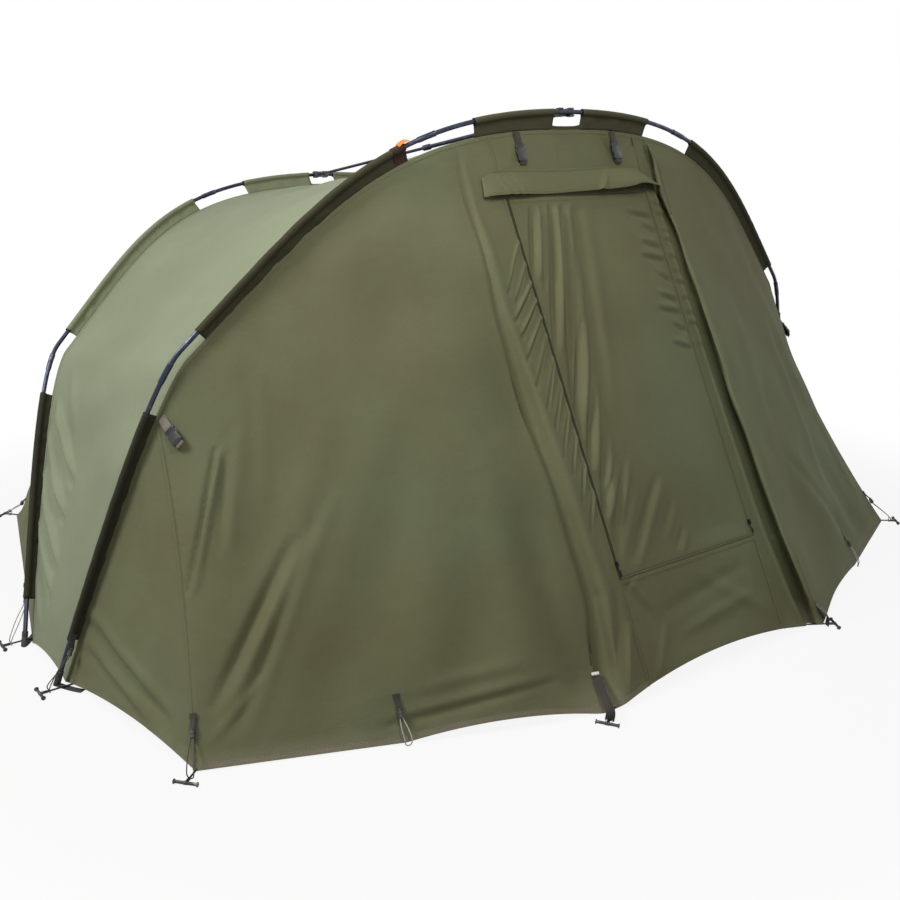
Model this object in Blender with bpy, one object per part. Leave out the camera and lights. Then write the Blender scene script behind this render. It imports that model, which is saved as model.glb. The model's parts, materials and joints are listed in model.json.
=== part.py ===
"""Two-rib dome bivvy tent with its pegs laid in their loops, in metres, +Z up.

Two ribs of the same bend splay apart from feet that stand close together, one
leaning forward and one leaning back, and a telescopic ridge bar holds their
crowns apart. The skin hangs inside the ribs from sleeves. A flat door section
with a zipped door runs from the crown of the front rib to the ground.
+X is to the right and -Y is the front, where the door is.
"""

import bisect
import math

import bmesh
import bpy
from mathutils import Matrix, Vector

# Ribs: one bend for both, two Bezier curves that meet at the elbow, from crown to foot
RIB_HALF_SPAN = 1.5415
RIB_RISE = 1.525
CROWN_HANDLE = 0.649
ELBOW_OUT = 1.195
ELBOW_UP = 0.93
ELBOW_SLOPE_DEG = 44
ELBOW_HANDLE_ABOVE = 0.525
ELBOW_HANDLE_BELOW = 0.12
LEG_HANDLE_SHARE = 0.5
FRONT_LEAN_DEG = -10.9
REAR_LEAN_DEG = 34.4
RIB_FOOT_SPACING = 0.283
RIB_DIAMETER = 0.013
RIB_WALL = 0.0012
RIB_SECTIONS = 5
SOCKET_LENGTH = 0.055
SOCKET_EASE = 0.0003
SOCKET_TAPER = 0.005
SOCKET_GAP = 0.001
TIP_DIAMETER = 0.018
TIP_LENGTH = 0.04
TIP_PAD_SHARE = 0.7
RIB_SIDES = 8
STATIONS = 20
STATION_MARGIN_SHARE = 0.02
ROUND_EDGE_DEG = 40
BEND_WEIGHT = 0.75
CURVE_SAMPLES = 600

# Sleeves: strips that stand on the skin's seams and wrap the ribs
SLEEVE_DEPTH = 0.052
SLEEVE_FOOT_DEPTH = 0.024
SLEEVE_FADE = 1.6
SLEEVE_CLOTH = 0.0012
SLEEVE_EASE = 0.002
SLEEVE_SIDES = 8
CROWN_SLEEVE_SHARE = 0.1445
SIDE_SLEEVE_SHARES = (0.243, 0.556)
LOW_SLEEVE_SHARES = (0.66, 0.94)
WINDOW_WIDTH = 0.11
WINDOW_DEPTH = 0.042
CUT_OVERRUN = 0.01
SLEEVE_BORE_RADIUS = RIB_DIAMETER / 2 + SLEEVE_EASE
SLEEVE_RADIUS = SLEEVE_BORE_RADIUS + SLEEVE_CLOTH

# Skin
SKIN_THICKNESS = 0.0012
CLOTH_EDGE_DEG = 60
SEAM_GAP = 0.0018
FIT_GAP = 0.0003
HEM_HEIGHT = 0.0105
ROOF_SAG = 0.03
ROOF_ROWS = 5
PANEL_SAG = 0.025
PANEL_ROWS = 5
HEADER_ROWS = 4
FIRST_HEM_STEP = 0.03
SIDE_HEM_RISE = 0.02
WING_HEM_RISE = 0.03
FRONT_HEM_RISE = 0.026
MIDDLE_LOOP_SHARE = 0.485
DOOR_HEM_RISE = 0.045
REAR_HEM_RISE = 0.025
FRONT_CORNER_X = 1.414
FRONT_CORNER_Y = -0.611
DOOR_CORNER_X = 0.441
DOOR_CORNER_Y = -1.013
REAR_CORNER_X = 1.231
REAR_CORNER_Y = 1.409
REAR_BOW = 0.12
DOOR_SEAM_SHARE = 0.1617
TUCK_WIDTH = 0.018
LEFT_TUCK_DEPTH = 0.012
RIGHT_TUCK_DEPTH = 0.026

# Door section, measured up its slope from the ground
ZIP_HALF_SPACING = 0.278
ZIP_WIDTH = 0.01
ZIP_THICKNESS = 0.0022
ZIP_CHAIN_WIDTH = 0.005
ZIP_CHAIN_RISE = 0.0012
DOOR_FOOT = 0.33
HEADER_DEPTH = 0.198
DOOR_FINE_COLUMNS = 19
DOOR_COARSE_COLUMNS = 7
DOOR_ROWS = 14
VALANCE_COLUMNS = 8
HOOD_HEIGHT = 0.074
HOOD_OVER_DOOR = 0.006
HOOD_HALF_WIDTH = 0.357
HOOD_HALF_HEAD = 0.25
HOOD_STAND = 0.012
HOOD_LIFT = 0.004
HOOD_COLUMNS = 12
HOOD_ROWS = 3

# Door folds: distance of each fold's crest from the door's middle, its height and its half width
FOLD_CRESTS = (-0.226, -0.186, -0.134, -0.08)
FOLD_HEIGHTS = (0.006, 0.009, 0.008, 0.005)
FOLD_HALF_WIDTH = 0.017
FOLD_START = 0.09
FOLD_END = 0.75
DOOR_BELLY = 0.012

# Zip sliders
SLIDER_WIDTH = 0.0092
SLIDER_LENGTH = 0.018
SLIDER_HEIGHT = 0.006
SLIDER_CHAMFER = 0.0012
PULL_LENGTH = 0.034
PULL_WIDTH = 0.006
PULL_TIP_WIDTH = 0.003
PULL_THICKNESS = 0.0016
SLIDER_CLEARANCE = 0.0005

# Webbing straps with side-release buckles
STRAP_WIDTH = 0.025
STRAP_THICKNESS = 0.0016
STRAP_LENGTH = 0.036
STRAP_STAND = 0.0065
BUCKLE_WIDTH = 0.033
BUCKLE_THICKNESS = 0.009
BUCKLE_BAR_LENGTH = 0.012
BUCKLE_WAIST_WIDTH = 0.022
BUCKLE_WAIST_LENGTH = 0.007
BUCKLE_BODY_LENGTH = 0.03
BUCKLE_CHAMFER = 0.002
BUCKLE_EDGE_DEG = 30
CROWN_STRAP_X = 0.19
LOW_STRAP_INSET = 0.024
LOW_STRAP_DROP = 0.03
LOW_STRAP_TURN_DEG = 26
STRAP_DROP = 0.005

# Ridge bar
BAR_DIAMETER = 0.014
BAR_WALL = 0.0012
BAR_INNER_DIAMETER = 0.0105
BAR_OVERLAP = 0.09
BAR_COLLAR_DIAMETER = 0.02
BAR_COLLAR_LENGTH = 0.035
BAR_SIDES = 10
SADDLE_WIDTH = 0.06
SADDLE_DEPTH = 0.026
SADDLE_HEIGHT = 0.024
SADDLE_NECK_HEIGHT = 0.012
SADDLE_EASE = 0.0015
SADDLE_THROAT = 0.024
SADDLE_SEAT = 0.004
SADDLE_NOTCH_SIDES = 8

# Pegs
PEG_ROD_DIAMETER = 0.005
PEG_LENGTH = 0.2
PEG_POINT = 0.012
PEG_POINT_DIAMETER = 0.0017
PEG_BAR_LENGTH = 0.062
PEG_BAR_DIAMETER = 0.008
PEG_FLANGE_DIAMETER = 0.013
PEG_FLANGE_LENGTH = 0.004
PEG_NECK_DIAMETER = 0.008
PEG_NECK_LENGTH = 0.02
PEG_SIDES = 8
PEG_SET = 0.028
PEG_FOOT_SIDE_STEP = 0.03
DOOR_PEG_TURN_DEG = 58

# Cord loops with toggles
CORD_DIAMETER = 0.003
CORD_FLOOR_GAP = 0.0005
LOOP_HEIGHT = 0.1
FOOT_LOOP_HEIGHT = 0.135
LOOP_SPREAD = 0.009
LOOP_SPREAD_SHARES = (0.9, 1, 0.8)
LOOP_STRAND_GAP = 0.0032
LOOP_SHOULDER = 0.014
LOOP_TAIL_REACH = 0.012
TOGGLE_DIAMETER = 0.013
TOGGLE_LENGTH = 0.016
TOGGLE_BUTTON_DIAMETER = 0.008
TOGGLE_BUTTON_LENGTH = 0.005
TOGGLE_STAND = 0.009
TOGGLE_SIDES = 8
TAB_WIDTH = 0.016
TAB_LENGTH = 0.024
TAB_THICKNESS = 0.0016
TAB_BITE = 0.003
SPLINE_STEPS = 2

# Webbing tabs at the foot of the door section
CORNER_TAB_WIDTH = 0.025
CORNER_TAB_HEIGHT = 0.075
CORNER_TAB_THICKNESS = 0.002
CORNER_TAB_FLOOR_GAP = 0.0006
CORNER_TAB_KNEE = 0.03
EYELET_RADIUS = 0.0036
EYELET_SIDES = 8

X, Z = Vector((1, 0, 0)), Vector((0, 0, 1))


def remove_everything():
    for item in list(bpy.data.objects):
        bpy.data.objects.remove(item, do_unlink=True)


def material(name, colour, roughness, metallic=0.0):
    made = bpy.data.materials.new(name)
    made.use_nodes = True
    shader = made.node_tree.nodes["Principled BSDF"]
    shader.inputs["Base Color"].default_value = (*colour, 1)
    shader.inputs["Roughness"].default_value = roughness
    shader.inputs["Metallic"].default_value = metallic
    return made


def put(name, mesh, finish, matrix=None):
    item = bpy.data.objects.new(name, mesh)
    bpy.context.scene.collection.objects.link(item)
    if not mesh.materials:
        mesh.materials.append(finish)
    if matrix is not None:
        item.matrix_world = matrix
    return item


def solid(name, points, faces, finish, origin=None, smooth=None):
    """One mesh object from points in the tent's frame, with its origin at `origin`."""
    origin = origin or Vector((0, 0, 0))
    shape = bmesh.new()
    corners = [shape.verts.new(point - origin) for point in points]
    for face in faces:
        shape.faces.new([corners[index] for index in face])
    bmesh.ops.recalc_face_normals(shape, faces=shape.faces)
    mesh = bpy.data.meshes.new(name)
    shape.to_mesh(mesh)
    shape.free()
    if smooth is not None:
        mesh.shade_smooth()
        mesh.set_sharp_from_angle(angle=math.radians(smooth))
    return put(name, mesh, finish, Matrix.Translation(origin))


def cutter(item):
    item.hide_render = True
    item.display_type = "WIRE"
    return item


def add_boolean(item, other, operation):
    step = item.modifiers.new(operation.title(), "BOOLEAN")
    step.operation = operation
    step.object = other
    step.solver = "EXACT"


def baked(item):
    """The mesh of an object as its modifiers leave it."""
    bpy.context.view_layer.update()
    graph = bpy.context.evaluated_depsgraph_get()
    return bpy.data.meshes.new_from_object(item.evaluated_get(graph))


def fused(name, items, finish):
    """The union of several closed solids, as one object at the first one's place."""
    first, others = items[0], items[1:]
    for other in others:
        add_boolean(first, other, "UNION")
    mesh = baked(first)
    mesh.name = name
    matrix = first.matrix_world.copy()
    for item in items:
        bpy.data.objects.remove(item, do_unlink=True)
    mesh.materials.clear()
    return put(name, mesh, finish, matrix)


def lofted(name, rings, finish, origin=None, closed=False, smooth=None):
    """A solid through rings of equally many points, capped at both ends or closed on itself."""
    count = len(rings[0])
    points = [point for ring in rings for point in ring]
    faces = []
    steps = len(rings) if closed else len(rings) - 1
    for step in range(steps):
        low, high = step * count, (step + 1) % len(rings) * count
        for side in range(count):
            after = (side + 1) % count
            faces.append((low + side, low + after, high + after, high + side))
    if not closed:
        faces.append(tuple(range(count)))
        faces.append(tuple(range(len(points) - count, len(points))))
    return solid(name, points, faces, finish, origin, smooth)


def circle(centre, across, up, radius, sides, turn_share=0.5):
    """A ring of points. A turn share of a half puts a flat, not a corner, on `across`."""
    ring = []
    for side in range(sides):
        angle = 2 * math.pi * (side + turn_share) / sides
        ring.append(centre + across * (math.cos(angle) * radius) + up * (math.sin(angle) * radius))
    return ring


def box_ring(centre, across, up, half_width, half_height, chamfer=0.0):
    """A rectangle of points, with its corners cut off when there is a chamfer."""
    ring = []
    for sx, sy in ((1, 1), (-1, 1), (-1, -1), (1, -1)):
        corner = centre + across * (sx * half_width) + up * (sy * half_height)
        if not chamfer:
            ring.append(corner)
            continue
        cut_x, cut_y = across * (-sx * chamfer), up * (-sy * chamfer)
        pair = [corner + cut_y, corner + cut_x]
        ring.extend(pair if sx * sy > 0 else reversed(pair))
    return ring


# The ribs' bend


def bezier(corners, step):
    back = 1 - step
    weights = (back ** 3, 3 * back ** 2 * step, 3 * back * step ** 2, step ** 3)
    return sum((corner * weight for corner, weight in zip(corners, weights)), Vector((0, 0)))


def bend_curves():
    """The half rib in its own plane, across and up: crown to elbow, and elbow to foot."""
    slope = math.radians(ELBOW_SLOPE_DEG)
    run = Vector((math.cos(slope), -math.sin(slope)))
    elbow = Vector((ELBOW_OUT, ELBOW_UP))
    foot = Vector((RIB_HALF_SPAN, 0))
    below = elbow + run * ELBOW_HANDLE_BELOW
    above = elbow - run * ELBOW_HANDLE_ABOVE
    upper = (Vector((0, RIB_RISE)), Vector((CROWN_HANDLE, RIB_RISE)), above, elbow)
    lower = (elbow, below, foot.lerp(below, LEG_HANDLE_SHARE), foot)
    return upper, lower


def bend_stations():
    """Points, inward normals and shares of the length at stations that crowd where the rib bends most."""
    samples = []
    for curve in bend_curves():
        samples += [bezier(curve, index / CURVE_SAMPLES) for index in range(CURVE_SAMPLES)]
    samples.append(bend_curves()[-1][-1])
    lengths, measures = [0.0], [0.0]
    for index in range(1, len(samples)):
        run = samples[index] - samples[index - 1]
        before = samples[index - 1] - samples[index - 2] if index > 1 else Vector((1, 0))
        lengths.append(lengths[-1] + run.length)
        measures.append(measures[-1] + run.length + BEND_WEIGHT * run.angle(before))
    places, normals, shares = [], [], []
    index = 0
    for station in range(STATIONS + 1):
        wanted = measures[-1] * station / STATIONS
        while index < len(samples) - 2 and measures[index + 1] < wanted:
            index += 1
        part = (wanted - measures[index]) / (measures[index + 1] - measures[index])
        places.append(samples[index].lerp(samples[index + 1], part))
        shares.append((lengths[index] + (lengths[index + 1] - lengths[index]) * part) / lengths[-1])
        along = (samples[index + 1] - samples[index]).normalized()
        normals.append(Vector((along.y, -along.x)))
    normals[0] = Vector((0, -1))
    return places, normals, shares, lengths[-1]


PLACES, NORMALS, STATION_SHARES, HALF_LENGTH = bend_stations()


class Rib:
    """A rib standing at `foot_y` and leaning by `lean`, with places given as a share of half its length."""

    def __init__(self, name, foot_y, lean_degrees):
        self.name = name
        self.foot_y = foot_y
        self.lean = math.radians(lean_degrees)

    def place(self, across, up):
        return Vector((across, self.foot_y + up * math.sin(self.lean), up * math.cos(self.lean)))

    def turn(self, across, up):
        return Vector((across, up * math.sin(self.lean), up * math.cos(self.lean)))

    def frame(self, share):
        """Point on the rib's axis, direction to the right foot, inward normal and their cross product."""
        side = -1 if share < 0 else 1
        index = min(bisect.bisect_right(STATION_SHARES, abs(share)) - 1, STATIONS - 1)
        part = (abs(share) - STATION_SHARES[index]) / (STATION_SHARES[index + 1] - STATION_SHARES[index])
        spot = PLACES[index].lerp(PLACES[index + 1], part)
        inward = NORMALS[index].lerp(NORMALS[index + 1], part).normalized()
        point = self.place(side * spot.x, spot.y)
        normal = self.turn(side * inward.x, inward.y)
        along = self.turn(-inward.y, side * inward.x)
        return point, along, normal, along.cross(normal)

    def depth(self, share):
        """Distance from the rib's axis to the seam under its sleeves, which narrow towards the feet."""
        return SLEEVE_FOOT_DEPTH + (SLEEVE_DEPTH - SLEEVE_FOOT_DEPTH) * (1 - abs(share)) ** SLEEVE_FADE

    def seam(self, share):
        """Point where the sleeves and the skin's panels meet."""
        point, _, normal, _ = self.frame(share)
        return point + normal * self.depth(share)

    def share_at_height(self, height):
        """Share of the half rib at which its seam is `height` above the ground."""
        low, high = 0.5, 1.0
        for _ in range(40):
            middle = (low + high) / 2
            if self.seam(middle).z > height:
                low = middle
            else:
                high = middle
        return low

    def share_at_width(self, across):
        """Share of the half rib at which its seam is `across` from the middle."""
        low, high = 0.0, 0.5
        for _ in range(40):
            middle = (low + high) / 2
            if self.seam(middle).x < across:
                low = middle
            else:
                high = middle
        return low


def shares_between(start, end):
    """`start`, the ribs' stations that lie between, and `end`."""
    margin = STATION_MARGIN_SHARE / STATIONS
    both_sides = [-share for share in reversed(STATION_SHARES[1:])] + STATION_SHARES
    return [start, *(share for share in both_sides if start + margin < share < end - margin), end]


def rib_ring(rib, share, radius):
    point, _, normal, cross = rib.frame(share)
    return circle(point, normal, cross, radius, RIB_SIDES)


def tube_rings(rib, side, start, end, radius):
    """Rings along one side of a rib, from share `start` to share `end` on the way to the foot."""
    return [rib_ring(rib, side * share, radius) for share in shares_between(start, end)]


def rib_section(rib, number, finish):
    """One tube of a rib: the crown's has plain ends, each lower one a swaged socket at its upper end."""
    name = f"{rib.name}_rib_section_{number + 1}"
    middle = (RIB_SECTIONS - 1) / 2
    side = -1 if number < middle else 1
    outer = RIB_DIAMETER / 2
    bore = outer - RIB_WALL
    socket_bore = outer + SOCKET_EASE
    socket_outer = socket_bore + RIB_WALL
    reach = (SOCKET_LENGTH - SOCKET_GAP) / HALF_LENGTH
    half = abs(number - middle)
    upper = (2 * half - 1) / RIB_SECTIONS
    lower = (2 * half + 1) / RIB_SECTIONS
    if half == 0:
        rings = tube_rings(rib, 1, -lower - reach, lower + reach, outer)
        rings += reversed(tube_rings(rib, 1, -lower - reach, lower + reach, bore))
        return lofted(name, rings, finish, closed=True, smooth=ROUND_EDGE_DEG)
    socket_end = upper + SOCKET_LENGTH / HALF_LENGTH
    taper_end = socket_end + SOCKET_TAPER / HALF_LENGTH
    socket = tube_rings(rib, side, upper, socket_end, socket_outer)
    socket_inside = list(reversed(tube_rings(rib, side, upper, socket_end, socket_bore)))
    if number not in (0, RIB_SECTIONS - 1):
        rings = socket + tube_rings(rib, side, taper_end, lower + reach, outer)
        rings += reversed(tube_rings(rib, side, taper_end, lower + reach, bore))
        return lofted(name, rings + socket_inside, finish, closed=True, smooth=ROUND_EDGE_DEG)
    # The lowest tube ends in a rubber tip that stands flat on the ground
    tip_radius = TIP_DIAMETER / 2
    knee = 1 - tip_radius / HALF_LENGTH
    tip_top = 1 - TIP_LENGTH / HALF_LENGTH
    point = rib.frame(side)[0]
    pad = []
    for corner in rib_ring(rib, side * knee, tip_radius):
        outward = corner - rib.frame(side * knee)[0]
        outward.z = 0
        pad.append(point + outward.normalized() * (tip_radius * TIP_PAD_SHARE))
    rings = list(reversed(tube_rings(rib, side, taper_end, tip_top, bore))) + socket_inside + socket
    rings += tube_rings(rib, side, taper_end, tip_top, outer)
    rings += [rib_ring(rib, side * tip_top, tip_radius), rib_ring(rib, side * knee, tip_radius), pad]
    return lofted(name, rings, finish, smooth=ROUND_EDGE_DEG)


def sleeve_loops(rib, share):
    """Outer outline (hem tube and web) and bore of a sleeve, as two rings of equally many points."""
    point, _, normal, cross = rib.frame(share)
    bore, outer = SLEEVE_BORE_RADIUS, SLEEVE_RADIUS
    half_web = SLEEVE_CLOTH / 2
    start = math.asin(half_web / outer)
    web_end = rib.depth(share) - SEAM_GAP
    on_tube = SLEEVE_SIDES - 2
    outline = [point + normal * web_end + cross * half_web]
    inner = [point + normal * math.cos(start / 2) * bore + cross * math.sin(start / 2) * bore]
    for index in range(on_tube):
        angle = start + (2 * math.pi - 2 * start) * index / (on_tube - 1)
        radial = normal * math.cos(angle) + cross * math.sin(angle)
        outline.append(point + radial * outer)
        inner.append(point + radial * bore)
    outline.append(point + normal * web_end - cross * half_web)
    inner.append(point + normal * math.cos(start / 2) * bore - cross * math.sin(start / 2) * bore)
    return outline, inner


def sleeve(name, rib, start, end, finish):
    pairs = [sleeve_loops(rib, share) for share in shares_between(start, end)]
    rings = [outline for outline, _ in pairs] + [inner for _, inner in reversed(pairs)]
    return lofted(name, rings, finish, closed=True, smooth=ROUND_EDGE_DEG)


def cut_window(item, rib, finish):
    """Cut the crown sleeve's hem tube and most of its web away over the window, where the rib lies bare."""
    point, along, normal, cross = rib.frame(0)
    reach = SLEEVE_RADIUS + CUT_OVERRUN
    top = point - normal * reach
    bottom = point + normal * WINDOW_DEPTH
    half = WINDOW_WIDTH / 2
    rings = [box_ring(spot, along, cross, half, reach) for spot in (top, bottom)]
    add_boolean(item, cutter(lofted(f"{item.name}_window", rings, finish)), "DIFFERENCE")


# Ground plan and the door section's plane

FRONT = Rib("front", 0.0, FRONT_LEAN_DEG)
REAR = Rib("rear", RIB_FOOT_SPACING, REAR_LEAN_DEG)
INSIDE = Vector((0, RIB_FOOT_SPACING, 0))
DOOR_LEFT_TOP = FRONT.seam(-DOOR_SEAM_SHARE)
DOOR_SLOPE = Vector((0, DOOR_LEFT_TOP.y - DOOR_CORNER_Y, DOOR_LEFT_TOP.z)).normalized()
DOOR_OUT = Vector((0, -DOOR_SLOPE.z, DOOR_SLOPE.y))
SLANT = DOOR_SLOPE.z


def on_door(across, up, out=0.0):
    """Point of the door section: across from the middle, up the slope from the ground, out from the cloth."""
    return Vector((across, DOOR_CORNER_Y, 0)) + DOOR_SLOPE * up + DOOR_OUT * out


# The door's head hangs below the crown's seam, and the hood's foot lies just above the door's head
DOOR_HEAD = (FRONT.seam(0) - on_door(0, 0)).dot(DOOR_SLOPE) - HEADER_DEPTH
HOOD_FOOT = DOOR_HEAD + HOOD_OVER_DOOR
HOOD_HEAD = HOOD_FOOT + HOOD_HEIGHT


def hem_point(start, end, part, rise):
    spot = start.lerp(end, part)
    return Vector((spot.x, spot.y, HEM_HEIGHT + rise * 4 * part * (1 - part)))


def front_hem_point(start, end, part):
    """The hem lies flat from the front corner to the middle loop, then lifts towards the door section."""
    over = max(0.0, (part - MIDDLE_LOOP_SHARE) / (1 - MIDDLE_LOOP_SHARE))
    spot = hem_point(start, end, part, 0)
    spot.z += FRONT_HEM_RISE * 4 * over * (1 - over)
    return spot


def door_hem_up(across):
    """How far up the slope the hem of the door section lies."""
    part = (across + DOOR_CORNER_X) / (2 * DOOR_CORNER_X)
    return (HEM_HEIGHT + DOOR_HEM_RISE * 4 * part * (1 - part)) / SLANT


def pulled_in(rows, first=0.0, last=0.0, left=0.0, right=0.0):
    """Draw the edges of a grid of points back along its own lines."""
    for column in range(len(rows[0])):
        for edge, inner, gap in ((0, 1, first), (-1, -2, last)):
            outer, towards = rows[edge][column], rows[inner][column]
            rows[edge][column] = outer + (towards - outer).normalized() * gap
    for row in rows:
        for edge, inner, gap in ((0, 1, left), (-1, -2, right)):
            row[edge] = row[edge] + (row[inner] - row[edge]).normalized() * gap
    return rows


def skin(name, rows, finish, thickness=SKIN_THICKNESS, origin=None):
    """A sheet of cloth through a grid of points, thickened evenly to both sides."""
    width = len(rows[0])
    points = [point for row in rows for point in row]
    faces = []
    for row in range(len(rows) - 1):
        for column in range(width - 1):
            low = row * width + column
            faces.append((low, low + 1, low + width + 1, low + width))
    item = solid(name, points, faces, finish, origin, smooth=CLOTH_EDGE_DEG)
    step = item.modifiers.new("Thickness", "SOLIDIFY")
    step.thickness = thickness
    step.offset = 0
    step.use_even_offset = True
    return item


def flipped(vector):
    """The same vector on the tent's other side."""
    return Vector((-vector.x, vector.y, vector.z))


def mirrored(rows):
    return [[flipped(point) for point in row] for row in rows]


def ruled(columns, parts, sags):
    """Grid over columns of top and bottom points, each drawn in towards the tent's middle by its sag.

    `parts` are the shares of the way down at which the rows lie. A column of three points
    turns at its middle one, which the second row reaches.
    """
    knee = parts[1]
    grid = []
    for part in parts:
        line = []
        for points, sag in zip(columns, sags):
            if len(points) == 2:
                spot = points[0].lerp(points[1], part)
            elif part <= knee:
                spot = points[0].lerp(points[1], part / knee)
            else:
                spot = points[1].lerp(points[2], (part - knee) / (1 - knee))
            inward = INSIDE - spot
            inward.z = 0
            line.append(spot + inward.normalized() * (sag * 4 * part * (1 - part)))
        grid.append(line)
    return grid


def even_parts(rows, start=0.0):
    """Shares of the way down for evenly spaced rows, from `start` to the hem."""
    return [start + (1 - start) * row / (rows - 1) for row in range(rows)]


def roof_rows():
    end = FRONT.share_at_height(HEM_HEIGHT)
    rear_end = REAR.share_at_height(HEM_HEIGHT)
    grid = []
    front_shares = shares_between(-end, end)
    rear_shares = [-rear_end, *front_shares[1:-1], rear_end]
    for row in range(ROOF_ROWS):
        part = row / (ROOF_ROWS - 1)
        line = []
        for front_share, rear_share in zip(front_shares, rear_shares):
            spot = FRONT.seam(front_share).lerp(REAR.seam(rear_share), part)
            inward = (FRONT.frame(front_share)[2] + REAR.frame(rear_share)[2]).normalized()
            bulge = 4 * part * (1 - part)
            spot = spot + inward * (ROOF_SAG * bulge * math.cos(math.pi / 2 * front_share))
            if abs(front_share) == end:
                spot.z = HEM_HEIGHT + SIDE_HEM_RISE * bulge
            line.append(spot)
        grid.append(line)
    return pulled_in(grid, first=SEAM_GAP, last=SEAM_GAP)


def wing_columns(rib, corner, rise, top_share):
    """Columns of a left wing: from the rib's seam to the hem between the rib's foot and a corner."""
    end = rib.share_at_height(HEM_HEIGHT)
    foot = rib.seam(-end)
    foot.z = 0
    first = FIRST_HEM_STEP / (corner - foot).length
    columns = []
    shares = shares_between(-end, -top_share)
    for index, share in enumerate(shares):
        part = first + (1 - first) * index / (len(shares) - 1)
        columns.append((rib.seam(share), hem_point(foot, corner, part, rise)))
    sags = [PANEL_SAG * index / (len(shares) - 1) for index in range(len(shares))]
    return columns, sags


def front_wing_rows():
    corner = Vector((-FRONT_CORNER_X, FRONT_CORNER_Y, 0))
    columns, sags = wing_columns(FRONT, corner, WING_HEM_RISE, LOW_SLEEVE_SHARES[0])
    grid = ruled(columns, even_parts(PANEL_ROWS), sags)
    return pulled_in(grid, first=SEAM_GAP, left=SEAM_GAP, right=SEAM_GAP)


def front_panel_rows(tuck_depth):
    """The left front panel, from the seam of the wing round the door section's edge to the zip.

    The cloth tucks in at the door section's edge, between the crown's seam and the hem.
    """
    corner = Vector((-FRONT_CORNER_X, FRONT_CORNER_Y, 0))
    door_corner = Vector((-DOOR_CORNER_X, DOOR_CORNER_Y, 0))
    shares = shares_between(-LOW_SLEEVE_SHARES[0], -DOOR_SEAM_SHARE)
    columns, sags = [], []
    for index, share in enumerate(shares):
        part = index / (len(shares) - 1)
        bottom = front_hem_point(corner, door_corner, part)
        if part == 1:
            bottom = on_door(-DOOR_CORNER_X, door_hem_up(-DOOR_CORNER_X))
        columns.append((FRONT.seam(share), bottom))
        sags.append(PANEL_SAG * (1 - part))
    edge = ZIP_HALF_SPACING + ZIP_WIDTH / 2 + FIT_GAP
    top_share = FRONT.share_at_width(edge)
    top, head, foot = FRONT.seam(-top_share), on_door(-edge, DOOR_HEAD), on_door(-edge, door_hem_up(-edge))
    columns.append((top, head, foot))
    sags.append(0)
    head_part = (top - head).length / ((top - head).length + (head - foot).length)
    grid = ruled(columns, [0, *even_parts(PANEL_ROWS - 1, head_part)], sags)
    for row in grid[1:-1]:
        row[-1:] = tuck(row[-2], row[-1], tuck_depth)
    for row in (grid[0], grid[-1]):
        row[-1:] = tuck(row[-2], row[-1], 0)
    return pulled_in(grid, first=SEAM_GAP, left=SEAM_GAP)


def tuck(edge, end, depth):
    """Points past the door section's edge: the tuck's foot, its far lip, and the end of the row."""
    across = (end - edge).normalized() * TUCK_WIDTH
    return [edge + across / 2 - DOOR_OUT * depth, edge + across, end]


def rear_rows():
    corner = Vector((-REAR_CORNER_X, REAR_CORNER_Y, 0))
    left, left_sags = wing_columns(REAR, corner, REAR_HEM_RISE, LOW_SLEEVE_SHARES[0])
    columns, sags = list(left), list(left_sags)
    shares = shares_between(-LOW_SLEEVE_SHARES[0], LOW_SLEEVE_SHARES[0])
    opposite = Vector((REAR_CORNER_X, REAR_CORNER_Y, 0))
    for index, share in enumerate(shares[1:-1], start=1):
        part = index / (len(shares) - 1)
        bottom = hem_point(corner, opposite, part, REAR_HEM_RISE)
        bottom.y += REAR_BOW * math.sin(math.pi * part)
        columns.append((REAR.seam(share), bottom))
        sags.append(PANEL_SAG * abs(1 - 2 * part))
    columns += [(flipped(top), flipped(bottom)) for top, bottom in reversed(left)]
    sags += list(reversed(left_sags))
    grid = ruled(columns, even_parts(PANEL_ROWS), sags)
    return pulled_in(grid, first=SEAM_GAP, left=SEAM_GAP, right=SEAM_GAP)


def header_rows():
    edge = ZIP_HALF_SPACING + ZIP_WIDTH / 2 - SEAM_GAP
    top_share = FRONT.share_at_width(edge)
    columns = []
    for share in shares_between(-top_share, top_share):
        top = FRONT.seam(share)
        columns.append((top, on_door(top.x, DOOR_HEAD)))
    grid = ruled(columns, even_parts(HEADER_ROWS), [0] * len(columns))
    return pulled_in(grid, first=SEAM_GAP, last=-FIT_GAP)


def valance_rows():
    edge = ZIP_HALF_SPACING + ZIP_WIDTH / 2 - SEAM_GAP
    top_up = DOOR_FOOT - ZIP_WIDTH - FIT_GAP
    columns = []
    for index in range(VALANCE_COLUMNS + 1):
        across = edge * (2 * index / VALANCE_COLUMNS - 1)
        columns.append((on_door(across, top_up), on_door(across, door_hem_up(across))))
    return ruled(columns, even_parts(HEADER_ROWS), [0] * len(columns))


def fold_height(across, down):
    """How far the door's cloth stands out: soft pleats near its left zip, and a slight belly."""
    length = DOOR_HEAD - DOOR_FOOT
    rise = min(1.0, max(0.0, (down - SEAM_GAP) / FOLD_START))
    fall = min(1.0, max(0.0, (length - down) / (length - FOLD_END)))
    out = 0.0
    for crest, height in zip(FOLD_CRESTS, FOLD_HEIGHTS):
        out += height * math.exp(-((across - crest) / FOLD_HALF_WIDTH) ** 2) * rise * fall
    part = min(1.0, max(0.0, down / length))
    belly = math.cos(math.pi / 2 * across / ZIP_HALF_SPACING) * math.sin(math.pi * part)
    return out + DOOR_BELLY * belly


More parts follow.
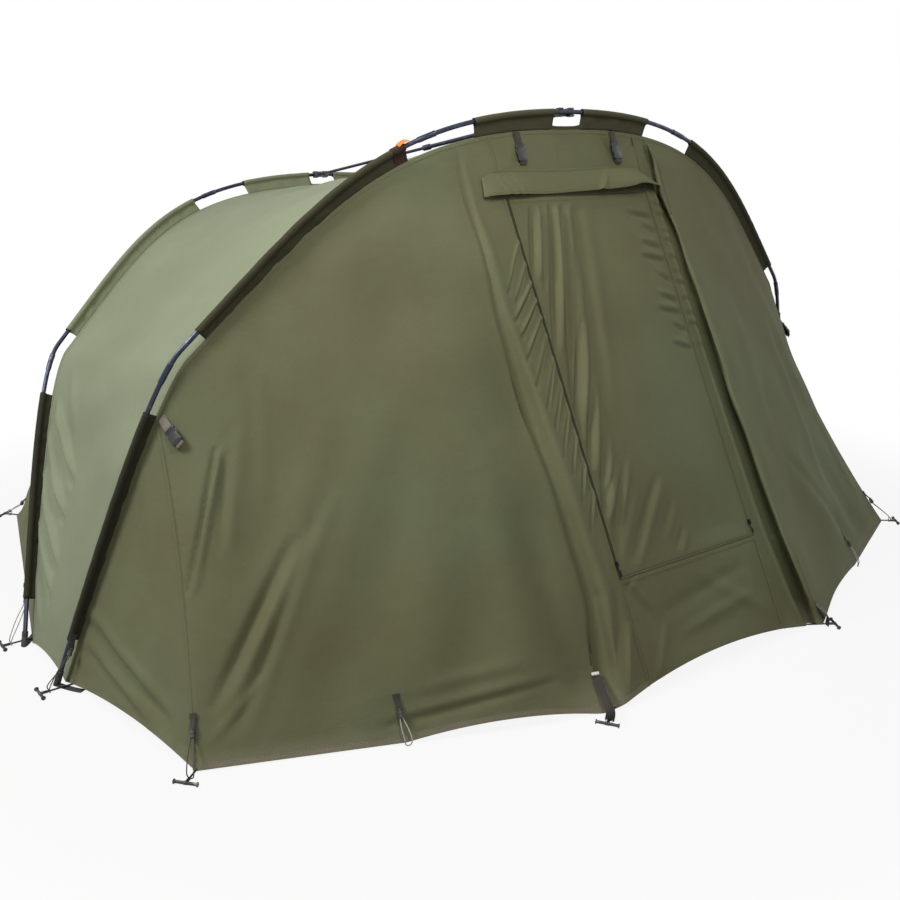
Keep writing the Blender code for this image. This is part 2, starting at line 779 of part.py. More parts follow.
def door_rows():
    edge = ZIP_HALF_SPACING - ZIP_WIDTH / 2 - FIT_GAP
    top, bottom = DOOR_HEAD - SEAM_GAP, DOOR_FOOT + FIT_GAP
    fine_end = FOLD_CRESTS[-1] + 2 * FOLD_HALF_WIDTH
    fine, coarse = DOOR_FINE_COLUMNS, DOOR_COARSE_COLUMNS
    places = [-edge + (fine_end + edge) * index / fine for index in range(fine)]
    places += [fine_end + (edge - fine_end) * index / coarse for index in range(coarse + 1)]
    grid = []
    for row in range(DOOR_ROWS + 1):
        up = top + (bottom - top) * row / DOOR_ROWS
        line = []
        for across in places:
            at_edge = abs(abs(across) - edge) < FIT_GAP
            out = 0 if at_edge else fold_height(across, DOOR_HEAD - up)
            line.append(on_door(across, up, out))
        grid.append(line)
    return grid


def hood_rows():
    """The rain flap over the door's top edge, sewn along its top and standing out at its free edge."""
    grid = []
    for row in range(HOOD_ROWS + 1):
        part = row / HOOD_ROWS
        half = HOOD_HALF_WIDTH - (HOOD_HALF_WIDTH - HOOD_HALF_HEAD) * (1 - part) ** 2
        up = HOOD_HEAD + (HOOD_FOOT - HOOD_HEAD) * part
        line = []
        for column in range(HOOD_COLUMNS + 1):
            place = 2 * column / HOOD_COLUMNS - 1
            out = HOOD_LIFT + bulge_of_header(half * place, up)
            arch = math.sin(math.pi / 2 * part) * math.sqrt(math.cos(math.pi / 2 * place))
            out += (HOOD_STAND - HOOD_LIFT) * arch
            line.append(on_door(half * place, up, out))
        grid.append(line)
    return grid


def bulge_of_header(across, up):
    """How far the header's cloth stands in front of the door section's plane there."""
    share = FRONT.share_at_width(abs(across))
    top = FRONT.seam(share)
    offset = top - on_door(top.x, 0)
    top_up, top_out = offset.dot(DOOR_SLOPE), offset.dot(DOOR_OUT)
    return max(0.0, top_out * (up - DOOR_HEAD) / (top_up - DOOR_HEAD))


# Zip, sliders, straps


def zip_track(finish):
    """One ribbon down the door's left side, along its foot and up its right side, with a raised chain."""
    half, chain = ZIP_WIDTH / 2, ZIP_CHAIN_WIDTH / 2
    flat, crest = ZIP_THICKNESS / 2, ZIP_THICKNESS / 2 + ZIP_CHAIN_RISE
    profile = ((-half, -flat), (half, -flat), (half, flat), (chain, flat), (chain, crest), (-chain, crest),
               (-chain, flat), (-half, flat))
    top, foot, side = DOOR_HEAD - SEAM_GAP, DOOR_FOOT - half, ZIP_HALF_SPACING
    rings = []
    for turn, up, mitre in ((1, top, 0), (1, foot, 1), (-1, foot, 1), (-1, top, 0)):
        rings.append([on_door(turn * (offset - side), up + mitre * offset, out) for offset, out in profile])
    return lofted("door_zip", rings, finish)


def slider_mesh(finish):
    """A zip slider in its own frame: Z up the zip, Y out of the cloth, its origin on the chain."""
    base = ZIP_THICKNESS / 2 + ZIP_CHAIN_RISE + SLIDER_CLEARANCE
    x, y = Vector((1, 0, 0)), Vector((0, 1, 0))
    middle = base + SLIDER_HEIGHT / 2
    half_w, half_h, half_l = SLIDER_WIDTH / 2, SLIDER_HEIGHT / 2, SLIDER_LENGTH / 2
    cut = SLIDER_CHAMFER
    rings = []
    for place, inset in ((-half_l, cut), (-half_l + cut, 0), (half_l - cut, 0), (half_l, cut)):
        rings.append(box_ring(Vector((0, middle, place)), x, y, half_w - inset, half_h - inset, cut / 2))
    body = lofted("slider_body", rings, finish)
    lift = base + SLIDER_HEIGHT - PULL_THICKNESS
    taper_start = PULL_LENGTH - PULL_WIDTH / 2
    rings = []
    for down, width in ((0, PULL_WIDTH), (taper_start, PULL_WIDTH), (PULL_LENGTH, PULL_TIP_WIDTH)):
        rings.append(box_ring(Vector((0, lift, -down)), x, y, width / 2, PULL_THICKNESS / 2))
    pull = lofted("slider_pull", rings, finish)
    item = fused("zip_slider", [body, pull], finish)
    mesh = item.data
    bpy.data.objects.remove(item, do_unlink=True)
    return mesh


def strap_mesh(finish):
    """A webbing strap and its buckle in their own frame: hung down -Z from the origin, Y out of the cloth."""
    x, y = Vector((1, 0, 0)), Vector((0, 1, 0))
    half, flat = STRAP_WIDTH / 2, STRAP_THICKNESS / 2
    thick = BUCKLE_THICKNESS / 2
    bar_end = STRAP_LENGTH + BUCKLE_BAR_LENGTH
    waist_end = bar_end + BUCKLE_WAIST_LENGTH
    body_end = waist_end + BUCKLE_BODY_LENGTH
    steps = (
        (0, half, flat),
        (STRAP_LENGTH, half, flat),
        (STRAP_LENGTH + FIT_GAP, BUCKLE_WIDTH / 2, thick - BUCKLE_CHAMFER / 2),
        (bar_end, BUCKLE_WIDTH / 2, thick - BUCKLE_CHAMFER / 2),
        (bar_end + FIT_GAP, BUCKLE_WAIST_WIDTH / 2, thick - BUCKLE_CHAMFER),
        (waist_end, BUCKLE_WAIST_WIDTH / 2, thick - BUCKLE_CHAMFER),
        (waist_end + FIT_GAP, BUCKLE_WIDTH / 2 - BUCKLE_CHAMFER, thick - BUCKLE_CHAMFER / 2),
        (waist_end + BUCKLE_CHAMFER, BUCKLE_WIDTH / 2, thick),
        (body_end - BUCKLE_CHAMFER, BUCKLE_WIDTH / 2, thick),
        (body_end, BUCKLE_WAIST_WIDTH / 2, thick - BUCKLE_CHAMFER),
    )
    rings = []
    for down, wide, high in steps:
        rings.append(box_ring(Vector((0, 0, -down)), x, y, wide, high, min(high / 2, BUCKLE_CHAMFER)))
    item = lofted("buckle_strap", rings, finish, smooth=BUCKLE_EDGE_DEG)
    mesh = item.data
    bpy.data.objects.remove(item, do_unlink=True)
    return mesh


def frame_matrix(origin, up, out):
    """Placement whose local Z is `up` and local Y is `out`."""
    up = up.normalized()
    out = (out - up * out.dot(up)).normalized()
    right = out.cross(up)
    matrix = Matrix((right, out, up)).transposed().to_4x4()
    matrix.translation = origin
    return matrix


# Ridge bar


def saddle(name, rib, toward, finish):
    """End fitting of the ridge bar: two claws round the front of a rib's crown, seated with a named ease."""
    crown, along, _, _ = rib.frame(0)
    up = along.cross(toward).normalized()
    if up.z < 0:
        up = -up
    notch = RIB_DIAMETER / 2 + SADDLE_EASE
    half_h, half_neck = SADDLE_HEIGHT / 2, SADDLE_NECK_HEIGHT / 2
    # Profile in the plane across the rib, with the notch open away from the bar
    profile = [(SADDLE_DEPTH, -half_neck), (SADDLE_DEPTH, half_neck)]
    profile += [(notch + SADDLE_SEAT, half_h), (0, half_h)]
    profile.append((0, notch))
    for index in range(1, SADDLE_NOTCH_SIDES):
        angle = math.pi / 2 - math.pi * index / SADDLE_NOTCH_SIDES
        profile.append((notch * math.cos(angle), notch * math.sin(angle)))
    profile += [(0, -notch), (0, -half_h), (notch + SADDLE_SEAT, -half_h)]
    rings = []
    for side in (-1, 1):
        centre = crown + along * (side * SADDLE_WIDTH / 2)
        rings.append([centre + toward * depth + up * height for depth, height in profile])
    block = lofted(name + "_block", rings, finish)
    rings = []
    for spot in (crown - toward * CUT_OVERRUN, crown + toward * (notch + SADDLE_SEAT / 2)):
        rings.append(box_ring(spot, along, up, SADDLE_THROAT / 2, half_h + CUT_OVERRUN))
    gap = lofted(name + "_gap", rings, finish)
    add_boolean(block, cutter(gap), "DIFFERENCE")
    mesh = baked(block)
    for item in (block, gap):
        bpy.data.objects.remove(item, do_unlink=True)
    return put(name, mesh, finish)


def ridge_bar(materials):
    front_crown = FRONT.frame(0)[0]
    rear_crown = REAR.frame(0)[0]
    to_rear = (rear_crown - front_crown).normalized()
    up = X.cross(to_rear)
    span = (rear_crown - front_crown).length
    front_end = SADDLE_DEPTH + FIT_GAP
    middle = span / 2
    saddle("ridge_clip_front", FRONT, to_rear, materials["plastic"])
    outer, bore = BAR_DIAMETER / 2, BAR_DIAMETER / 2 - BAR_WALL
    collar = BAR_COLLAR_DIAMETER / 2

    def ring(distance, radius):
        return circle(front_crown + to_rear * distance, up, X, radius, BAR_SIDES)

    collar_start = middle - BAR_COLLAR_LENGTH
    rings = [ring(front_end, outer), ring(collar_start, outer), ring(collar_start + BAR_WALL, collar),
             ring(middle - BAR_WALL, collar), ring(middle, outer), ring(middle, bore), ring(front_end, bore)]
    lofted("ridge_bar_outer", rings, materials["tube"], closed=True, smooth=ROUND_EDGE_DEG)
    inner = BAR_INNER_DIAMETER / 2
    inner_bore = inner - BAR_WALL
    tail = span - SADDLE_DEPTH + SADDLE_SEAT
    start = middle - BAR_OVERLAP
    rings = [ring(start, inner), ring(tail, inner), ring(tail, inner_bore), ring(start, inner_bore)]
    tube = lofted("inner_tube", rings, materials["tube"], closed=True, smooth=ROUND_EDGE_DEG)
    claw = saddle("inner_claw", REAR, -to_rear, materials["plastic"])
    item = fused("ridge_bar_inner", [tube, claw], materials["tube"])
    origin = front_crown + to_rear * middle
    item.data.transform(Matrix.Translation(-origin))
    item.matrix_world = Matrix.Translation(origin)


# Pegs, loops and toggles


def peg_mesh(finish):
    """A T-peg lying along local +X, with its bar across local Y and its origin where rod and bar cross."""
    x, y, z = Vector((1, 0, 0)), Vector((0, 1, 0)), Vector((0, 0, 1))
    bar, flange, rod = PEG_BAR_DIAMETER / 2, PEG_FLANGE_DIAMETER / 2, PEG_ROD_DIAMETER / 2
    half = PEG_BAR_LENGTH / 2
    step = PEG_FLANGE_LENGTH
    stations = ((-half, flange), (-half + step / 2, flange), (-half + step, bar), (half - step, bar),
                (half - step / 2, flange), (half, flange))
    rings = [circle(y * place, x, z, radius, PEG_SIDES) for place, radius in stations]
    cross = lofted("peg_bar", rings, finish)
    neck = PEG_NECK_DIAMETER / 2
    stations = ((0, neck), (PEG_NECK_LENGTH, neck), (PEG_NECK_LENGTH + rod, rod),
                (PEG_LENGTH - PEG_POINT, rod), (PEG_LENGTH, PEG_POINT_DIAMETER / 2))
    rings = [circle(x * place, y, z, radius, PEG_SIDES) for place, radius in stations]
    shank = lofted("peg_rod", rings, finish)
    item = fused("peg", [cross, shank], finish)
    mesh = item.data
    mesh.shade_smooth()
    mesh.set_sharp_from_angle(angle=math.radians(ROUND_EDGE_DEG))
    bpy.data.objects.remove(item, do_unlink=True)
    return mesh


def peg_height():
    """Height of a lying peg's axis: its flanges stand on a flat of their outline."""
    return PEG_FLANGE_DIAMETER / 2 * math.cos(math.pi / PEG_SIDES)


def smooth_line(points, steps):
    """Catmull-Rom curve through the given points."""
    padded = [2 * points[0] - points[1], *points, 2 * points[-1] - points[-2]]
    line = []
    for index in range(1, len(padded) - 2):
        before, start, end, after = padded[index - 1:index + 3]
        for step in range(steps):
            t = step / steps
            line.append((2 * start + (end - before) * t + (2 * before - 5 * start + 4 * end - after) * t ** 2
                         + (3 * start - before - 3 * end + after) * t ** 3) / 2)
    line.append(points[-1])
    return line


def cord(name, points, finish):
    curve = bpy.data.curves.new(name, "CURVE")
    curve.dimensions = "3D"
    curve.bevel_depth = CORD_DIAMETER / 2
    curve.bevel_resolution = 1
    curve.use_fill_caps = True
    spline = curve.splines.new("POLY")
    spline.points.add(len(points) - 1)
    for target, point in zip(spline.points, points):
        target.co = (*point, 1)
    holder = bpy.data.objects.new(name + "_path", curve)
    bpy.context.scene.collection.objects.link(holder)
    mesh = baked(holder)
    bpy.data.objects.remove(holder, do_unlink=True)
    mesh.materials.clear()
    return put(name, mesh, finish)


def loop(name, anchor, down, out, rest, outward, materials):
    """Webbing tab, toggle and cord loop, from `anchor` on the cloth to a peg's rod at `rest`."""
    down = down.normalized()
    out = (out - down * out.dot(down)).normalized()
    side = down.cross(out).normalized()
    tab_start = anchor + out * (SKIN_THICKNESS / 2 + TAB_THICKNESS / 2 + FIT_GAP)
    tab_end = anchor + down * TAB_LENGTH + out * TOGGLE_STAND
    run = (tab_end - tab_start).normalized()
    face = side.cross(run).normalized()
    tab = lofted(name + "_tab", [box_ring(spot, side, face, TAB_WIDTH / 2, TAB_THICKNESS / 2)
                                 for spot in (tab_start, tab_end + run * TAB_BITE)], materials["webbing"])
    button, body = TOGGLE_BUTTON_DIAMETER / 2, TOGGLE_DIAMETER / 2
    stations = ((0, button), (TOGGLE_BUTTON_LENGTH, button), (TOGGLE_BUTTON_LENGTH + FIT_GAP, body),
                (TOGGLE_BUTTON_LENGTH + TOGGLE_LENGTH, body))
    rings = [circle(tab_end + down * place, side, out, radius, TOGGLE_SIDES) for place, radius in stations]
    barrel = lofted(name + "_toggle", rings, materials["plastic"], smooth=ROUND_EDGE_DEG)
    mouth = tab_end + down * (TOGGLE_BUTTON_LENGTH + TOGGLE_LENGTH)
    inside = mouth - down * (TOGGLE_LENGTH / 2)
    lateral = Z.cross(outward).normalized()
    if lateral.dot(side) < 0:
        lateral = -lateral
    floor = Vector((rest.x, rest.y, 0))
    low = CORD_FLOOR_GAP + CORD_DIAMETER / 2
    rod = peg_height()
    shoulder = floor + Z * (rod + LOOP_SHOULDER)
    half_way = (mouth + shoulder) / 2 + outward * (CORD_DIAMETER / 2)
    spreads = [LOOP_SPREAD * share for share in LOOP_SPREAD_SHARES]
    left, right = [], []
    for line, sign in ((left, -1), (right, 1)):
        line.append(inside + side * (sign * LOOP_STRAND_GAP))
        line.append(mouth + side * (sign * LOOP_STRAND_GAP))
        line.append(half_way + (side + lateral) / 2 * (sign * spreads[0]))
        line.append(shoulder + lateral * (sign * spreads[1]))
        line.append(floor + Z * rod + lateral * (sign * spreads[2]))
    points = smooth_line([*left, floor + Z * low, *reversed(right)], SPLINE_STEPS)
    strand = cord(name + "_cord", points, materials["cord"])
    return fused(name, [barrel, tab, strand], materials["cord"])


def corner_tab(panel, anchor, down, out, rest, outward, finish):
    """Webbing tab sewn over the door section's edge, with an eyelet that the peg's rod passes through."""
    side = down.cross(out).normalized()
    thin = CORNER_TAB_THICKNESS / 2
    foot = Vector((rest.x, rest.y, CORNER_TAB_FLOOR_GAP))
    knee = foot + Z * CORNER_TAB_KNEE
    lateral = Z.cross(outward).normalized()
    if lateral.dot(side) < 0:
        lateral = -lateral
    rings = [box_ring(anchor, side, out, CORNER_TAB_WIDTH / 2, thin),
             box_ring(knee, lateral, outward, CORNER_TAB_WIDTH / 2, thin),
             box_ring(foot, lateral, outward, CORNER_TAB_WIDTH / 2, thin)]
    strip = lofted(panel.name + "_corner_tab", rings, finish)
    eye = Vector((rest.x, rest.y, peg_height()))
    reach = CORNER_TAB_THICKNESS + CUT_OVERRUN
    ends = (eye - outward * reach, eye + outward * reach)
    rings = [circle(end, lateral, Z, EYELET_RADIUS, EYELET_SIDES) for end in ends]
    hole = lofted(panel.name + "_eyelet", rings, finish)
    add_boolean(strip, cutter(hole), "DIFFERENCE")
    add_boolean(panel, cutter(strip), "UNION")


def centre_on_ground():
    """Move every piece so that the origin lies on the ground under the middle of the whole tent."""
    pieces = [item for item in bpy.data.objects if item.type == "MESH" and not item.hide_render]
    bpy.context.view_layer.update()
    graph = bpy.context.evaluated_depsgraph_get()
    low, high = Vector((math.inf,) * 3), Vector((-math.inf,) * 3)
    for item in pieces:
        for corner in item.evaluated_get(graph).data.vertices:
            spot = item.matrix_world @ corner.co
            low = Vector(map(min, low, spot))
            high = Vector(map(max, high, spot))
    middle = Vector(((low.x + high.x) / 2, (low.y + high.y) / 2, low.z))
    for item in bpy.data.objects:
        item.matrix_world = Matrix.Translation(-middle) @ item.matrix_world


def outward_of(before, spot, after):
    """Horizontal direction out of a corner of the ground plan, midway between the normals of its edges."""
    run = (spot - before).normalized() + (after - spot).normalized()
    out = run.cross(Z).normalized()
    return out if out.dot(spot - INSIDE) > 0 else -out


def line_at_height(rows, column, height):
    """Point and downward direction on a grid, at a column or between two, at a height above the ground."""
    low = min(int(column), len(rows[0]) - 2)
    line = [row[low].lerp(row[low + 1], column - low) for row in rows]
    for upper, lower in zip(line, line[1:]):
        if upper.z >= height >= lower.z:
            part = (upper.z - height) / (upper.z - lower.z)
            return upper.lerp(lower, part), (lower - upper).normalized()
    return line[-2], (line[-1] - line[-2]).normalized()


def build():
    remove_everything()
    materials = {
        "skin": material("front_cloth", (0.10, 0.105, 0.055), 0.75),
        "roof": material("roof_cloth", (0.27, 0.30, 0.20), 0.7),
        "sleeve": material("sleeve_cloth", (0.035, 0.036, 0.02), 0.8),
        "tube": material("anodised_tube", (0.02, 0.022, 0.035), 0.35, 0.8),
        "plastic": material("moulded_plastic", (0.02, 0.02, 0.02), 0.45),
        "webbing": material("webbing", (0.025, 0.025, 0.02), 0.85),
        "zip": material("zip_coil", (0.02, 0.02, 0.015), 0.5),
        "metal": material("slider_metal", (0.05, 0.05, 0.05), 0.35, 0.9),
        "cord": material("elastic_cord", (0.06, 0.06, 0.06), 0.7),
        "peg": material("peg_steel", (0.06, 0.06, 0.065), 0.4, 0.6),
    }

    for rib in (FRONT, REAR):
        for number in range(RIB_SECTIONS):
            rib_section(rib, number, materials["tube"])
        start, end = -CROWN_SLEEVE_SHARE, CROWN_SLEEVE_SHARE
        crown = sleeve(f"{rib.name}_sleeve_crown", rib, start, end, materials["sleeve"])
        cut_window(crown, rib, materials["sleeve"])
        for side, word in ((-1, "left"), (1, "right")):
            for (near, far), place in ((SIDE_SLEEVE_SHARES, "side"), (LOW_SLEEVE_SHARES, "low")):
                start, end = sorted((side * near, side * far))
                sleeve(f"{rib.name}_sleeve_{place}_{word}", rib, start, end, materials["sleeve"])

    skin("roof_panel", roof_rows(), materials["roof"])
    skin("rear_panel", rear_rows(), materials["skin"])
    wing = front_wing_rows()
    skin("front_wing_left", wing, materials["skin"])
    skin("front_wing_right", mirrored(wing), materials["skin"])
    front = front_panel_rows(LEFT_TUCK_DEPTH)
    door_column = len(shares_between(-LOW_SLEEVE_SHARES[0], -DOOR_SEAM_SHARE)) - 1
    panels = {-1: skin("front_panel_left", front, materials["skin"]),
              1: skin("front_panel_right", mirrored(front_panel_rows(RIGHT_TUCK_DEPTH)), materials["skin"])}
    skin("door_header", header_rows(), materials["skin"])
    skin("door_valance", valance_rows(), materials["skin"])
    hood_axis = on_door(0, HOOD_HEAD, HOOD_LIFT + bulge_of_header(0, HOOD_HEAD))
    skin("door_hood", hood_rows(), materials["skin"], origin=hood_axis)
    skin("door_panel", door_rows(), materials["skin"], origin=on_door(0, DOOR_HEAD))

    zip_track(materials["zip"])
    slider = slider_mesh(materials["metal"])
    slider_start = DOOR_FOOT + PULL_LENGTH
    for side, word in ((-1, "left"), (1, "right")):
        origin = on_door(side * ZIP_HALF_SPACING, slider_start)
        put(f"zip_slider_{word}", slider, materials["metal"], frame_matrix(origin, DOOR_SLOPE, DOOR_OUT))

    strap = strap_mesh(materials["webbing"])
    for side, word in ((-1, "left"), (1, "right")):
        top = FRONT.seam(side * FRONT.share_at_width(CROWN_STRAP_X))
        up = (top - on_door(top.x, DOOR_HEAD)).normalized()
        out = Vector((0, -up.z, up.y)).normalized()
        origin = top - up * STRAP_DROP + out * STRAP_STAND
        put(f"crown_strap_{word}", strap, materials["webbing"], frame_matrix(origin, up, out))
        edge, inner = front[0][0], front[0][1]
        down = (front[1][0] - front[0][0]).normalized()
        across = (inner - edge).normalized()
        out = across.cross(down).normalized()
        if out.y > 0:
            out = -out
        origin = edge + across * LOW_STRAP_INSET + down * LOW_STRAP_DROP + out * STRAP_STAND
        level = (across - down * across.dot(down)).normalized()
        turn = math.radians(LOW_STRAP_TURN_DEG)
        up = -down * math.cos(turn) - level * math.sin(turn)
        if side > 0:
            origin, up, out = flipped(origin), flipped(up), flipped(out)
        put(f"low_strap_{word}", strap, materials["webbing"], frame_matrix(origin, up, out))

    ridge_bar(materials)

    # Pegging points on the left: corner on the ground, line up the skin from it, step beside a rib's foot
    corner = Vector((-FRONT_CORNER_X, FRONT_CORNER_Y, 0))
    door_corner = Vector((-DOOR_CORNER_X, DOOR_CORNER_Y, 0))
    rear_corner = Vector((-REAR_CORNER_X, REAR_CORNER_Y, 0))
    front_foot = FRONT.place(-RIB_HALF_SPAN, 0)
    rear_foot = REAR.place(-RIB_HALF_SPAN, 0)

    turn = math.radians(DOOR_PEG_TURN_DEG)
    peg = peg_mesh(materials["peg"])
    pegged = {
        "front_corner": (corner, outward_of(front_foot, corner, door_corner)),
        "door_corner": (door_corner, Vector((-math.sin(turn), -math.cos(turn), 0))),
        "rear_corner": (rear_corner, outward_of(rear_foot, rear_corner, flipped(rear_corner))),
        "front_foot": (front_foot + Vector((0, -PEG_FOOT_SIDE_STEP, 0)), Vector((-1, 0, 0))),
        "rear_foot": (rear_foot + Vector((0, PEG_FOOT_SIDE_STEP, 0)), Vector((-1, 0, 0))),
    }
    lift = peg_height()
    for place, (spot, outward) in pegged.items():
        rest = spot + outward * PEG_SET
        head = rest + outward * (PEG_NECK_LENGTH + PEG_ROD_DIAMETER)
        for side, word in ((-1, "left"), (1, "right")):
            aim = outward if side < 0 else flipped(outward)
            at = head if side < 0 else flipped(head)
            heading = math.atan2(-aim.y, -aim.x)
            matrix = Matrix.Translation((at.x, at.y, lift)) @ Matrix.Rotation(heading, 4, "Z")
            put(f"peg_{place}_{word}", peg, materials["peg"], matrix)

    held = {place: (spot + outward * PEG_SET, outward) for place, (spot, outward) in pegged.items()}
    middle_out = (door_corner - corner).normalized().cross(Z)
    middle = corner.lerp(door_corner, MIDDLE_LOOP_SHARE)
    held["front_middle"] = (middle + middle_out * LOOP_TAIL_REACH, middle_out)

    rear = rear_rows()
    rear_column = len(shares_between(-REAR.share_at_height(HEM_HEIGHT), -LOW_SLEEVE_SHARES[0])) - 1
    middle_column = door_column * MIDDLE_LOOP_SHARE
    sewn = []
    for place, rows, column in (("front_corner", front, 0), ("front_middle", front, middle_column),
                                ("rear_corner", rear, rear_column)):
        spot, down = line_at_height(rows, column, LOOP_HEIGHT)
        sewn.append((place, spot, down, held[place][1]))
    for place, rib, turned in (("front_foot", FRONT, -1), ("rear_foot", REAR, 1)):
        point, along, _, cross = rib.frame(-rib.share_at_height(FOOT_LOOP_HEIGHT))
        out = cross if cross.y * turned > 0 else -cross
        sewn.append((place, point + out * SLEEVE_RADIUS, -along, out))
    for place, spot, down, out in sewn:
        rest, outward = held[place]
        loop(f"loop_{place}_left", spot, down, out, rest, outward, materials)
        on_right = [flipped(vector) for vector in (spot, down, out, rest, outward)]
        loop(f"loop_{place}_right", *on_right, materials)

    for side, panel in panels.items():
        rest, outward = held["door_corner"]
        anchor, down = line_at_height(front, door_column, CORNER_TAB_HEIGHT)
        if side > 0:
            anchor, down, outward, rest = flipped(anchor), flipped(down), flipped(outward), flipped(rest)
        out = (outward - down * outward.dot(down)).normalized()
        corner_tab(panel, anchor, down, out, rest, outward, materials["webbing"])

    centre_on_ground()


build()
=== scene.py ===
"""The looks of a two-rib bivvy tent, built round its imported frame."""

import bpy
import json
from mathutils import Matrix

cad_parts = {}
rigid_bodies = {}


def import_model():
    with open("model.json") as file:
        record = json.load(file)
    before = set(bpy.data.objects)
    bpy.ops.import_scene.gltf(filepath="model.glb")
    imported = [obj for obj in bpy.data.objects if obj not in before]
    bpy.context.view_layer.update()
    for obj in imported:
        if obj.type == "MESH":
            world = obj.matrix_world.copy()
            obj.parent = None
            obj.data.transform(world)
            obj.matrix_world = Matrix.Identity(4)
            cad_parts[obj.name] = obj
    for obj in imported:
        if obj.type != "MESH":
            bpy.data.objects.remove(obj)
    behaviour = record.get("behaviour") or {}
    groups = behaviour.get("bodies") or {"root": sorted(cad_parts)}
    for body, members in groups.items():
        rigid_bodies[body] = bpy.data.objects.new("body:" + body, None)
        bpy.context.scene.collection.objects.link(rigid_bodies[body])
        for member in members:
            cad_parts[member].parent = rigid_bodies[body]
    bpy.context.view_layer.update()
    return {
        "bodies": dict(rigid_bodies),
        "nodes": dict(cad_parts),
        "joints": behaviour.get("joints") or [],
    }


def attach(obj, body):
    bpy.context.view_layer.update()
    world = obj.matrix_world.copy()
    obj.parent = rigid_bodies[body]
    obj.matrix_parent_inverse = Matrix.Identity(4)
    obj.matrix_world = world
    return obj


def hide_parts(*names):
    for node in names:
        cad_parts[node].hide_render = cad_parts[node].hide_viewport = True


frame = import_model()

import json
import math

import bmesh
import bpy
import numpy as np
from mathutils import Matrix, Vector

# The tent's own sizes, in metres, as its solids have them
RIB_HALF_SPAN, RIB_RISE, CROWN_HANDLE = 1.5415, 1.525, 0.649
ELBOW_OUT, ELBOW_UP, ELBOW_SLOPE_DEG = 1.195, 0.93, 44
ELBOW_HANDLE_ABOVE, ELBOW_HANDLE_BELOW, LEG_HANDLE_SHARE = 0.525, 0.12, 0.5
FRONT_LEAN_DEG, REAR_LEAN_DEG, RIB_FOOT_SPACING = -10.9, 34.4, 0.283
STATIONS, STATION_MARGIN_SHARE, BEND_WEIGHT = 20, 0.02, 0.75
RIB_RADIUS, SOCKET_RADIUS, SOCKET_LENGTH, SOCKET_TAPER, TIP_LENGTH = 0.0065, 0.008, 0.055, 0.005, 0.04
SLEEVE_DEPTH, SLEEVE_FOOT_DEPTH, SLEEVE_FADE = 0.052, 0.024, 1.6
CROWN_SLEEVE, SIDE_SLEEVE, LOW_SLEEVE = 0.1445, (0.243, 0.556), (0.66, 0.94)
ROOF_SAG, PANEL_SAG, REAR_BOW, DOOR_BELLY = 0.03, 0.025, 0.12, 0.012
FIRST_HEM_STEP, SIDE_HEM_RISE, WING_HEM_RISE = 0.03, 0.02, 0.03
FRONT_HEM_RISE, MIDDLE_LOOP_SHARE, DOOR_HEM_RISE, REAR_HEM_RISE = 0.026, 0.485, 0.045, 0.025
FRONT_CORNER, DOOR_CORNER, REAR_CORNER = (1.414, -0.611), (0.441, -1.013), (1.231, 1.409)
DOOR_SEAM, CLOTH, HEM = 0.1617, 0.0012, 0.0035
ZIP_HALF_SPACING, ZIP_WIDTH, DOOR_FOOT, HEADER_DEPTH = 0.278, 0.01, 0.33, 0.198
ZIP_OUTER, ZIP_INNER = ZIP_HALF_SPACING + ZIP_WIDTH / 2, ZIP_HALF_SPACING - ZIP_WIDTH / 2
HOOD_OVER_DOOR, HOOD_HEIGHT = 0.006, 0.074
BAR_RADIUS, BAR_INNER_RADIUS, COLLAR_RADIUS, COLLAR_LENGTH = 0.007, 0.00525, 0.01, 0.035
SADDLE_WIDTH, SADDLE_DEPTH, SADDLE_HEIGHT, SADDLE_NECK, SADDLE_THROAT = 0.06, 0.026, 0.024, 0.012, 0.024
SADDLE_NOTCH, SADDLE_SEAT = 0.008, 0.004
SLIDER_START, STRAP_WIDTH, STRAP_STAND, STRAP_DROP, CROWN_STRAP_X = 0.364, 0.025, 0.0065, 0.005, 0.19
PEG_LENGTH, PEG_ROD_RADIUS, PEG_BAR_LENGTH, PEG_SET, PEG_HEAD_REACH = 0.2, 0.0025, 0.062, 0.028, 0.025
PEG_AXIS_HEIGHT, PEG_FOOT_SIDE_STEP, DOOR_PEG_TURN_DEG = 0.0065 * math.cos(math.pi / 8), 0.03, 58
CORD_RADIUS, LOOP_HEIGHT, FOOT_LOOP_HEIGHT, LOOP_SPREAD, LOOP_SHOULDER = 0.0015, 0.1, 0.135, 0.009, 0.014
TOGGLE_STAND, TAB_LENGTH, TOGGLE_LENGTH, BUTTON_LENGTH, LOOP_TAIL_REACH = 0.009, 0.024, 0.016, 0.005, 0.012
CORNER_TAB_WIDTH, CORNER_TAB_HEIGHT, CORNER_TAB_KNEE = 0.025, 0.075, 0.03
# Sizes that only the looks have
SLEEVE_RADIUS = RIB_RADIUS + 0.0032
SHARP_EDGE_DEG = 38
X, Y, Z = np.eye(3)
MIRROR = np.array([-1, 1, 1])
SIDES = {"left": np.ones(3), "right": MIRROR}


# Colours and finishes


def linear(code):
    """sRGB hex to the linear values that shaders take."""
    channels = [int(code[place:place + 2], 16) / 255 for place in (1, 3, 5)]
    return tuple(c / 12.92 if c <= 0.04045 else ((c + 0.055) / 1.055) ** 2.4 for c in channels) + (1.0,)


def plug(tree, node, inputs):
    """Set a node's inputs to values, or link them to other nodes' outputs."""
    for socket, value in inputs.items():
        if isinstance(value, bpy.types.NodeSocket):
            tree.links.new(value, node.inputs[socket])
        else:
            node.inputs[socket].default_value = value
    return node


def add(tree, kind, inputs=None, **settings):
    """A new node with its settings and its inputs."""
    made = tree.nodes.new(kind)
    for key, value in settings.items():
        setattr(made, key, value)
    return plug(tree, made, inputs or {})


